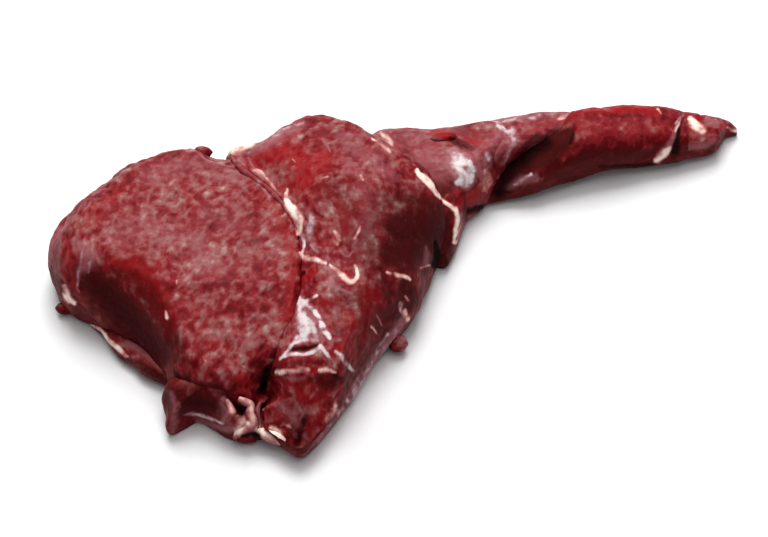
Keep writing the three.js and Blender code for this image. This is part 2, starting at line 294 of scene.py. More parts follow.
def piece(name, points, faces, material, marks):
    """Makes a mesh from points in plan mm, with an attribute for each entry of marks."""
    mesh = bpy.data.meshes.new(name)
    corners = np.concatenate([group.ravel() for group in faces])
    sizes = np.concatenate([np.full(len(group), group.shape[1]) for group in faces])
    mesh.vertices.add(len(points))
    mesh.vertices.foreach_set("co", ((points + PLAN_ZERO) / 1000).ravel())
    mesh.loops.add(len(corners))
    mesh.loops.foreach_set("vertex_index", corners.astype(np.int32))
    mesh.polygons.add(len(sizes))
    mesh.polygons.foreach_set("loop_start", (np.cumsum(sizes) - sizes).astype(np.int32))
    mesh.polygons.foreach_set("use_smooth", np.ones(len(sizes), bool))
    mesh.update(calc_edges=True)
    mesh.validate()
    for mark, values in marks.items():
        kind, field = ("FLOAT", "value") if values.ndim == 1 else ("FLOAT_VECTOR", "vector")
        layer = mesh.attributes.new(mark, kind, "POINT")
        layer.data.foreach_set(field, values.astype(np.float32).ravel())
    mesh.materials.append(material)
    obj = bpy.data.objects.new(name, mesh)
    bpy.context.collection.objects.link(obj)
    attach(obj, "root")
    triangles = int((sizes - 2).sum())
    print(f"{name}: {len(points)} points, {triangles} triangles")
    return obj


# %% [markdown]
# The look of raw flesh is one material. On the real cut the wet crests of the grain are greyish pink
# and its troughs are dark red; the greyish pink is the sheen of the wet film, so the crests carry
# painted sheen and the highest of them painted glints. A picture of meat could be wrapped round the
# pieces, but the grain would tear at every crease. Here the grain is noise that the shader averages
# over a few steps along the fibres, so it follows each muscle's own direction at any closeness. The
# average is worked out in a node group, which keeps the material itself short. Dark red and near
# black painted shade, membrane, silverskin and fat lie over the grain wherever the surface is marked
# for them.

# %% Node helpers
def srgb(red, green, blue):
    """Linear colour with alpha from 0 to 255 steps."""
    steps = np.array([red, green, blue]) / 255
    return (*np.where(steps <= 0.04045, steps / 12.92, ((steps + 0.055) / 1.055) ** 2.4), 1.0)


def add(tree, kind, inputs=None, **settings):
    """Adds a node, sets its properties, and links or sets its inputs by name or number."""
    node = tree.nodes.new(kind)
    for key, value in settings.items():
        setattr(node, key, value)
    for key, value in (inputs or {}).items():
        if isinstance(value, bpy.types.NodeSocket):
            tree.links.new(value, node.inputs[key])
        else:
            node.inputs[key].default_value = value
    return node


def maths(tree, operation, a, b, c=0.0):
    """The output of a Math node on up to three values."""
    return add(tree, "ShaderNodeMath", {0: a, 1: b, 2: c}, operation=operation).outputs[0]


def blend_colours(tree, share, a, b):
    """The colour between a and b."""
    return add(tree, "ShaderNodeMix", {0: share, 6: a, 7: b}, data_type="RGBA").outputs[2]


def step_between(tree, value, low, high):
    """0 below low, 1 above high, smooth between."""
    sockets = {"Value": value, "From Min": low, "From Max": high}
    return add(tree, "ShaderNodeMapRange", sockets, interpolation_type="SMOOTHSTEP").outputs["Result"]


def layered(tree, start, layers):
    """The start value plus each layer times its share."""
    total = start
    for layer, share in layers:
        total = maths(tree, "MULTIPLY_ADD", layer, share, total)
    return total


SPECKS = 0.6  # how strongly specks break up the soft edge of a cover


def broken(tree, cover, speckle, low, high):
    """A cover whose soft parts break up into specks: speckle moves the step from low to high."""
    pushed = maths(tree, "MULTIPLY_ADD", speckle, SPECKS, cover)
    return step_between(tree, pushed, low + SPECKS / 2, high + SPECKS / 2)


def mark_of(tree, name, output="Fac"):
    """What the surface carries under this name."""
    return add(tree, "ShaderNodeAttribute", attribute_name=name, attribute_type="GEOMETRY").outputs[output]


def new_material(name):
    """An empty node material, its tree and its Principled shader."""
    material = bpy.data.materials.new(name)
    material.use_nodes = True
    return material, material.node_tree, material.node_tree.nodes["Principled BSDF"]


print("step 188 of 255 is", round(srgb(188, 188, 188)[0], 2), "of the full light")

# %% Node group: threads along the fibre
THREAD_STEPS = 5


def make_threads_group():
    """Averages one noise over steps along the fibre; width and length are in metres."""
    group = bpy.data.node_groups.new("threads", "ShaderNodeTree")
    for name, kind in (("Place", "Vector"), ("Fibre", "Vector"), ("Width", "Float"), ("Length", "Float")):
        group.interface.new_socket(name, in_out="INPUT", socket_type="NodeSocket" + kind)
    group.interface.new_socket("Height", in_out="OUTPUT", socket_type="NodeSocketFloat")
    start = add(group, "NodeGroupInput")
    place, fibre, width, length = (start.outputs[k] for k in range(4))
    per_metre = maths(group, "DIVIDE", 1.0, width)
    total = 0.0
    for share in np.linspace(-0.5, 0.5, THREAD_STEPS):
        ahead = maths(group, "MULTIPLY", length, float(share))
        shift = add(group, "ShaderNodeVectorMath", {0: fibre, "Scale": ahead}, operation="SCALE").outputs[0]
        there = add(group, "ShaderNodeVectorMath", {0: place, 1: shift}, operation="ADD").outputs[0]
        tap = add(group, "ShaderNodeTexNoise", {"Vector": there, "Scale": per_metre, "Detail": 1.0})
        total = maths(group, "ADD", tap.outputs["Fac"], total)
    mean = maths(group, "DIVIDE", total, float(THREAD_STEPS))
    spread = maths(group, "MULTIPLY_ADD", mean, 2.0, -0.5)
    add(group, "NodeGroupOutput", {0: spread})
    return group


THREADS = make_threads_group()
print("threads group:", len(THREADS.nodes), "nodes")


def threads_of(tree, width, length):
    """Height of shader threads of this width and length in mm, from 0 to 1 and 0.5 in the middle."""
    node = add(tree, "ShaderNodeGroup", node_tree=THREADS)
    tree.links.new(add(tree, "ShaderNodeTexCoord").outputs["Object"], node.inputs["Place"])
    tree.links.new(mark_of(tree, "fibre", "Vector"), node.inputs["Fibre"])
    node.inputs["Width"].default_value = width / 1000
    node.inputs["Length"].default_value = length / 1000
    return node.outputs[0]


def noise_of(tree, size):
    """Height of plain noise with cells of this size in mm."""
    place = add(tree, "ShaderNodeTexCoord").outputs["Object"]
    sockets = {"Vector": place, "Scale": 1000 / size, "Detail": 2.0}
    return add(tree, "ShaderNodeTexNoise", sockets).outputs["Fac"]


# %% Flesh, with everything that lies over it
GRAIN_AND_SHEEN_TONES = (  # where the tone reaches each colour of the bare grain, from trough to glint
    (0.12, srgb(84, 6, 12)),
    (0.38, srgb(132, 29, 35)),
    # the crest and the glint are painted sheen and painted glints of the wet film
    (0.62, srgb(147, 90, 88)),
    (0.9, srgb(192, 155, 146)),
)
DARKEST = -0.68  # the tone before the layers of noise are added
WET = 0.35  # roughness of wet flesh; places painted as shade, dark places and raised places are drier
OVERLAYS = (  # an ink, its colour, and the covers at which it starts to show and hides what is below
    ("red", srgb(146, 15, 20), 0.0, 1.0),
    # dark red painted as shade, on sides, slopes and hollows that face away from the light
    ("deep", srgb(64, 7, 8), 0.0, 1.0),
    ("pale", srgb(154, 90, 96), 0.0, 1.1),
    ("skin", srgb(168, 116, 124), 0.1, 1.0),
    ("skin", srgb(230, 218, 219), 0.45, 1.1),
    ("fat", srgb(206, 140, 134), 0.1, 0.7),
    ("fat", srgb(252, 236, 222), 0.45, 1.05),
    # near black, painted as shade in gaps, slits, pits and hollows
    ("dark", srgb(12, 4, 4), 0.1, 0.9),
)


def make_flesh():
    """Grain gives the colour from trough to crest, the crests with painted sheen; marks lay their own
    colours over it in turn.
    """
    material, tree, shader = new_material("flesh")
    # the grain mark also carries painted light: it is higher where the surface faces up
    relief = mark_of(tree, "grain")  # where the mesh itself is high or low
    fine = threads_of(tree, 1.4, 2.2)  # ends of single bundles of fibre
    mottle = noise_of(tree, 4.2)
    patches = noise_of(tree, 13.0)
    tone = layered(tree, DARKEST, ((relief, 0.35), (fine, 0.22), (mottle, 0.9), (patches, 0.7)))
    ramp = add(tree, "ShaderNodeValToRGB", {0: tone})
    steps = ramp.color_ramp.elements
    steps[0].position, steps[0].color = GRAIN_AND_SHEEN_TONES[0]
    steps[1].position, steps[1].color = GRAIN_AND_SHEEN_TONES[-1]
    for position, tint in GRAIN_AND_SHEEN_TONES[1:-1]:
        steps.new(position).color = tint
    colour = ramp.outputs[0]
    speckle = noise_of(tree, 2.2)
    for ink, paint, low, high in OVERLAYS:
        cover = broken(tree, mark_of(tree, ink), speckle, low, high)
        colour = blend_colours(tree, cover, colour, paint)
    tree.links.new(colour, shader.inputs["Base Color"])
    grit = noise_of(tree, 0.8)
    height = layered(tree, 0.0, ((fine, 0.7), (grit, 0.3)))
    bump = add(tree, "ShaderNodeBump", {"Height": height, "Strength": 0.3, "Distance": 0.0006})
    tree.links.new(bump.outputs[0], shader.inputs["Normal"])
    dry = ((fine, 0.2), (mark_of(tree, "deep"), 0.25), (mark_of(tree, "dark"), 0.4))
    tree.links.new(layered(tree, WET, dry), shader.inputs["Roughness"])
    shader.inputs["Specular IOR Level"].default_value = 0.1
    shader.inputs["Specular Tint"].default_value = srgb(255, 190, 190)  # glints through red juice
    return material


FLESH = make_flesh()
print("flesh:", len(FLESH.node_tree.nodes), "nodes")

# %% [markdown]
# Strands of fat, silverskin and cuts lie on the muscles wherever the knife and the animal left them,
# so no rule places them. Strokes also paint shade: dark sides and hollows are painted shade, and a
# few crests and edges carry painted highlights and sheen. They could be painted in a picture by hand.
# Here each is a stroke of a brush, drawn in mm in the plane of the photograph, right and up from the
# point the camera looks at. Strokes are kept as values on the vertices they cover, so they can also
# raise a strand or sink a cut, which a painted picture couldn't.

# %% Strokes on a surface
RIGHT = np.array([1.0, 0.0, 0.0])
UP = np.array([0.0, math.sin(ELEVATION), math.cos(ELEVATION)])
TOWARDS = np.array([0.0, -math.cos(ELEVATION), math.sin(ELEVATION)])  # from the steak to the viewer
INKS = ("red", "deep", "pale", "skin", "fat", "dark")
RAGGED = ((1.7, 0.15, 3.1, 8.4), (5.5, 0.6, 2.2, 6.6))  # sizes, reaches and shifts of a stroke's wobble


def seen(points):
    """Where points of the plan appear in the picture, in mm right and up of its middle."""
    nearer = 1 - points @ TOWARDS / (1000 * CAMERA_AWAY)
    return np.column_stack([points @ RIGHT, points @ UP]) / nearer[:, None]


def stroke(place, rows, softness):
    """How much a stroke covers each place: 1 on its line, and falling to 0 at about its half-width,
    by the distance from the line. Rows are right, up and half-width; softness is the share of the
    half-width over which the cover falls."""
    line = smooth_curve(rows, closed=False, steps=6)
    reach = 2 * line[:, 2].max()
    close = np.all((place > line[:, :2].min(0) - reach) & (place < line[:, :2].max(0) + reach), axis=1)
    spots = place[close]
    least = np.full(len(spots), np.inf)
    for a, b in zip(line[:-1], line[1:]):
        step = b[:2] - a[:2]
        t = np.clip((spots - a[:2]) @ step / max(step @ step, 1e-9), 0, 1)
        gap = np.linalg.norm(spots - a[:2] - t[:, None] * step, axis=1)
        least = np.minimum(least, gap / (a[2] + t * (b[2] - a[2])))
    cover = np.zeros(len(place))
    cover[close] = ease(1 + softness / 2, 1 - softness, least)
    return cover


def painted(points, normals, marks):
    """The cover of every ink, the highest of its strokes at each point that faces the camera. Slits
    are an ink of their own, because they are sunk. Noise makes the edges ragged and fat patchy."""
    place = seen(points)
    for size, reach, right, up in RAGGED:
        place = place + reach * np.column_stack([noise(points, size, right), noise(points, size, up)])
    facing = ease(-0.25, 0.05, normals @ TOWARDS)
    found = {ink: np.zeros(len(points)) for ink in (*INKS, "slit")}
    for ink, strength, softness, rows in marks.values():
        found[ink] = np.maximum(found[ink], strength * facing * stroke(place, rows, softness))
    for ink in ("fat", "skin"):
        found[ink] *= np.clip(0.85 + 0.5 * noise(points, 3.3, 4.7), 0, 1)
    return found


test_row = [(-4, 0, 2), (4, 0, 2)]
test_cover = stroke(np.array([[0.0, 0.0], [0.0, 1.8], [0.0, 3.5]]), test_row, 0.8)
print("cover on a stroke, at its rim and off it:", test_cover.round(2))

# %% [markdown]
# The head is cut across its fibres: a mottled top, a front painted almost black as shade, since it
# faces away from the light, with a red rim round it, and a lilac crest on the left, a painted
# highlight where the bulge catches the light. The seam beside it keeps scraps of fat and skin,
# which reach over both muscles, so the seam's strokes are a list that both of them take. A stroke's
# name says what it is; then come its ink, its strength, its softness, and its stations of right, up
# and half-width in mm. Strokes in the two dark inks are painted shade.

# %% Strokes of the head and the seam
HEAD_MARKS = {
    # painted shade down to the corner over the flap: the front of the head faces away from the light
    "dark front": ("deep", 0.9, 0.9, [
        (-150.5, -6, 6.1), (-144, -10, 11.7), (-135, -19, 14.2), (-124.5, -30, 13.2),
        (-112.5, -44.5, 8.1),
    ]),
    "edge of the dark front": ("deep", 0.65, 0.9, [
        (-138, -1, 5.1), (-126, -5.5, 8.1), (-117.5, -16, 9.1), (-111.5, -28.5, 8.6),
        (-105.5, -41.5, 6.6),
    ]),
    "front foot": ("deep", 0.8, 1, [(-104.5, -56.5, 4.1), (-93.5, -60.5, 4.1), (-80.5, -62.5, 3)]),
    "left rim, low": ("deep", 0.5, 0.8, [(-166, -8.5, 1.5), (-167, -1, 1.3)]),
    "darkest hollow": ("dark", 0.32, 1, [
        (-147.5, -8, 5.6), (-141, -14, 9.1), (-133, -23, 9.6), (-123, -35, 7.1), (-115.5, -42.5, 4.1),
    ]),
    "corner over the flap": ("dark", 0.5, 0.8, [(-106, -51.5, 1.3), (-102.5, -57.5, 1.5)]),
    "gap by the seam's end": ("slit", 0.5, 0.9, [(-51.5, -41.5, 1), (-55.5, -47.5, 1.5), (-59, -52.5, 2)]),
    "bare red round the dark front": ("red", 0.85, 1, [
        (-138, 1.5, 4.6), (-128, 0.5, 7.1), (-119, -8, 8.1), (-113, -18.5, 7.1), (-108.5, -31, 5.1),
    ]),
    "torn rim along the seam": ("red", 0.5, 1, [
        (-62, 37.5, 3), (-55, 28.5, 3.6), (-50, 18.5, 4.1), (-47, 7, 4.6), (-47.5, -6, 4.6),
        (-48, -18.5, 4.1), (-49.5, -28.5, 3.6),
    ]),
    "red shoulder on the left": ("red", 0.5, 1, [(-154.5, 18.5, 5.6), (-144, 30.5, 6.1), (-135, 38, 3.6)]),
    "red rim on the left": ("red", 0.5, 0.8, [
        (-163, 10.5, 2), (-159.5, 1.5, 2), (-156.5, -10, 2), (-152.5, -20, 2),
    ]),
    "red over the gap": ("red", 0.6, 0.6, [(-68, -52.5, 2), (-74, -56.5, 2.5), (-65.5, -59, 2)]),
    "pale back": ("pale", 0.4, 1, [(-119, 47.5, 7.6), (-101, 52.5, 8.6), (-86, 51, 7.6), (-75.5, 45, 5.6)]),
    "pale middle": ("pale", 0.3, 1, [(-91, 27, 6.6), (-75.5, 22, 6.6), (-65.5, 12, 5.6)]),
    "pale left rim": ("pale", 0.5, 0.8, [(-165.5, 20.5, 2.5), (-161.5, 23.5, 2)]),
    "grey left rim": ("pale", 0.45, 1, [(-165.5, 16.5, 3), (-166.5, 6.5, 3), (-164.5, -4, 2.5)]),
    "threads on the left": ("skin", 0.6, 1, [
        (-152.5, 15.5, 0.8), (-153.5, 9.5, 1.3), (-154.5, 3.5, 1.5), (-155.5, -3, 1.5), (-156, -8, 1),
    ]),
    "threads on the left, inner": ("skin", 0.5, 1, [
        (-148.5, 14.5, 1), (-147.5, 8.5, 1.5), (-149.5, 2.5, 1.5), (-150.5, -2, 1),
    ]),
    "short thread": ("skin", 0.5, 1, [(-148.5, 14.5, 0.8), (-146.5, 8.5, 1), (-145, 4.5, 1)]),
    "thread tail": ("skin", 0.5, 0.8, [(-155.5, -4, 1.3), (-156, -9, 1), (-154.5, -12, 0.8)]),
    "grey strand by the seam": ("skin", 0.5, 1, [
        (-71.5, 46.5, 1), (-72, 42.5, 1.5), (-73.5, 39, 1.8), (-75, 36, 1.3),
    ]),
    "thin strand by the seam": ("skin", 0.5, 1, [
        (-65, 44.5, 1), (-62, 42, 1.5), (-60, 38.5, 1.5), (-58, 34.5, 1.3),
    ]),
    "silvery smear": ("skin", 0.5, 1, [
        (-70, -26, 1.5), (-64.5, -25.5, 2.3), (-60, -24.5, 2), (-57, -28, 1.5),
    ]),
    "silvery speck": ("skin", 0.45, 0.9, [(-86.5, -29, 1), (-83.5, -34.5, 1.3)]),
    "grey crest": ("skin", 0.35, 0.9, [(-107.5, -1, 1), (-104.5, -2.5, 1.3), (-106, -7.5, 1.3)]),
    "grey crest, back": ("skin", 0.3, 0.9, [(-96, -2, 1.5), (-91, 4.5, 1.5)]),
    "fat on the left rim": ("fat", 0.95, 0.8, [
        (-162.5, -8.5, 1.3), (-161.5, -12, 2), (-160.5, -15.5, 2), (-157.5, -18, 1.5),
    ]),
    "pink under it": ("fat", 0.55, 0.8, [(-160.5, -17.5, 1.3), (-156.5, -17.5, 1)]),
    "speck": ("fat", 0.8, 0.8, [(-111, -22, 1), (-110, -25, 1.3)]),
    "speck, upper": ("fat", 0.5, 0.5, [(-105.5, -6.5, 0.6), (-105.5, -8.5, 0.5)]),
    "speck, low": ("fat", 0.5, 0.5, [(-92, -45.5, 0.6), (-90.5, -47.5, 0.6)]),
    "fat on the back edge": ("fat", 0.4, 0.5, [(-99.5, 59, 1.3), (-96, 60, 1)]),
    "silvery smear, low": ("pale", 0.5, 1, [(-73, -36.5, 2), (-67, -39.5, 2.5), (-62, -36.5, 2)]),
    # painted sheen on the top of the head, here and in the next stroke
    "grey sheen": ("pale", 0.35, 1, [
        (-134, 14.5, 7.6), (-119, 22, 10.2), (-101, 14.5, 12.7), (-86, 2, 12.7),
    ]),
    "grey sheen, back": ("skin", 0.16, 1, [(-119, 40, 7.6), (-98.5, 45, 8.6), (-80.5, 35, 8.6)]),
    "red patch in the middle": ("red", 0.3, 1, [
        (-119, 3.5, 4.1), (-103.5, -8.5, 5.6), (-93.5, -26, 6.6), (-83.5, -41.5, 5.1),
    ]),
    "red patch at the back": ("red", 0.45, 1, [(-102.5, 42, 1.5), (-98.5, 35, 2), (-95.5, 27.5, 1.3)]),
    # painted shade in the gap
    "black gap": ("dark", 1, 1, [(-59, -52, 2), (-60.5, -56.5, 3.3), (-61.5, -61.5, 2.8)]),
    # painted highlight where the bulge on the left catches the light
    "lilac crest on the left": ("pale", 0.6, 1, [
        (-156.5, 14.5, 3.6), (-152.5, 9.5, 5.6), (-148.5, 5.5, 6.1), (-153.5, 0.5, 4.1),
    ]),
    "crimson on the left rim": ("red", 0.6, 0.9, [
        (-162.5, 15.5, 2), (-161.5, 10.5, 2.3), (-162.5, 3.5, 2.3), (-161.5, -4, 2),
    ]),
    # painted highlight on a crest by the silverskin
    "grey crest by the silverskin": ("skin", 0.62, 1, [(-66, -24, 1.8), (-62.5, -27, 3), (-60, -31, 2)]),
    "low flecks": ("fat", 0.45, 0.9, [(-72.5, -49, 1), (-69, -51, 1.3), (-66, -52, 0.8)]),
    "low flecks, right": ("fat", 0.45, 0.9, [(-59, -46, 0.8), (-56, -47, 1.3), (-53.5, -48, 0.8)]),
    # painted highlight on the bulge on the left
    "lilac crest, bright": ("skin", 0.32, 1, [(-155.5, 13.5, 3), (-151.5, 8.5, 4.6), (-148.5, 4.5, 4.1)]),
}
SEAM_MARKS = {
    "cream strand": ("fat", 1.1, 0.7, [
        (-49, 40, 0.8), (-49.5, 36, 1.5), (-48, 31.5, 2.5), (-45.5, 28.5, 3.2), (-43, 25.5, 3),
        (-42.5, 22, 2.3), (-43, 18, 1.3),
    ]),
    "lilac tail of the strand": ("skin", 0.9, 0.7, [(-43, 20.5, 1.3), (-41.5, 16, 1.5), (-41, 11, 1)]),
    "thread down to the next strand": ("skin", 0.75, 0.7, [
        (-41, 14.5, 1), (-41.5, 10.5, 1), (-42, 6.5, 1),
    ]),
    "second strand": ("fat", 1, 0.7, [
        (-43, 7.5, 1), (-41, 5.5, 1.5), (-37, 4.5, 1.8), (-33.5, 4, 1.5), (-30, 3, 1),
    ]),
    "lilac skin, top": ("skin", 0.75, 0.9, [
        (-41, 32, 1), (-38.5, 28, 2), (-36.5, 23.5, 3.3), (-38, 18.5, 2.8),
    ]),
    "lilac skin, low": ("skin", 0.6, 0.9, [(-38.5, 15, 2.3), (-36, 11.5, 2.5), (-34, 8.5, 2)]),
    # painted shade under the skin
    "dark under the skin": ("dark", 0.4, 0.9, [(-40.5, 23.5, 0.8), (-40, 18, 0.9), (-38, 11, 1)]),
    "speck at the seam's top": ("fat", 0.9, 0.8, [(-66, 49.5, 1), (-64, 49.5, 1.5), (-61.5, 48, 1)]),
    "pink strand at the top": ("fat", 0.6, 0.8, [(-61, 47, 0.8), (-58, 43.5, 1.3), (-55.5, 40.5, 1)]),
    "long pale strand at the top": ("skin", 0.5, 0.9, [(-69, 56, 1), (-66, 51, 0.8)]),
    "left tail of the silverskin": ("skin", 0.9, 0.7, [
        (-44, -34, 1.3), (-47, -39, 1.3), (-50, -43, 1.3), (-52.5, -46, 1),
    ]),
    "pink ridge": ("pale", 0.4, 1, [
        (-76.5, 56, 1.5), (-71.5, 50.5, 1.8), (-67, 47, 1.8), (-63, 44.5, 1.8), (-58, 40.5, 1.8),
        (-53, 35, 1.8), (-49, 29, 1.5),
    ]),
    "pink ridge, bright": ("skin", 0.35, 1, [
        (-62, 46, 1.3), (-58, 43, 1.3), (-54.5, 39, 1.3), (-52, 35.5, 1),
    ]),
    "crimson by the ridge": ("red", 0.7, 1, [
        (-74, 53.5, 1.3), (-68, 48, 1.3), (-62, 44, 1), (-56, 38.5, 1.3), (-51, 31, 1.3),
    ]),
}
print(len(HEAD_MARKS) + len(SEAM_MARKS), "strokes")
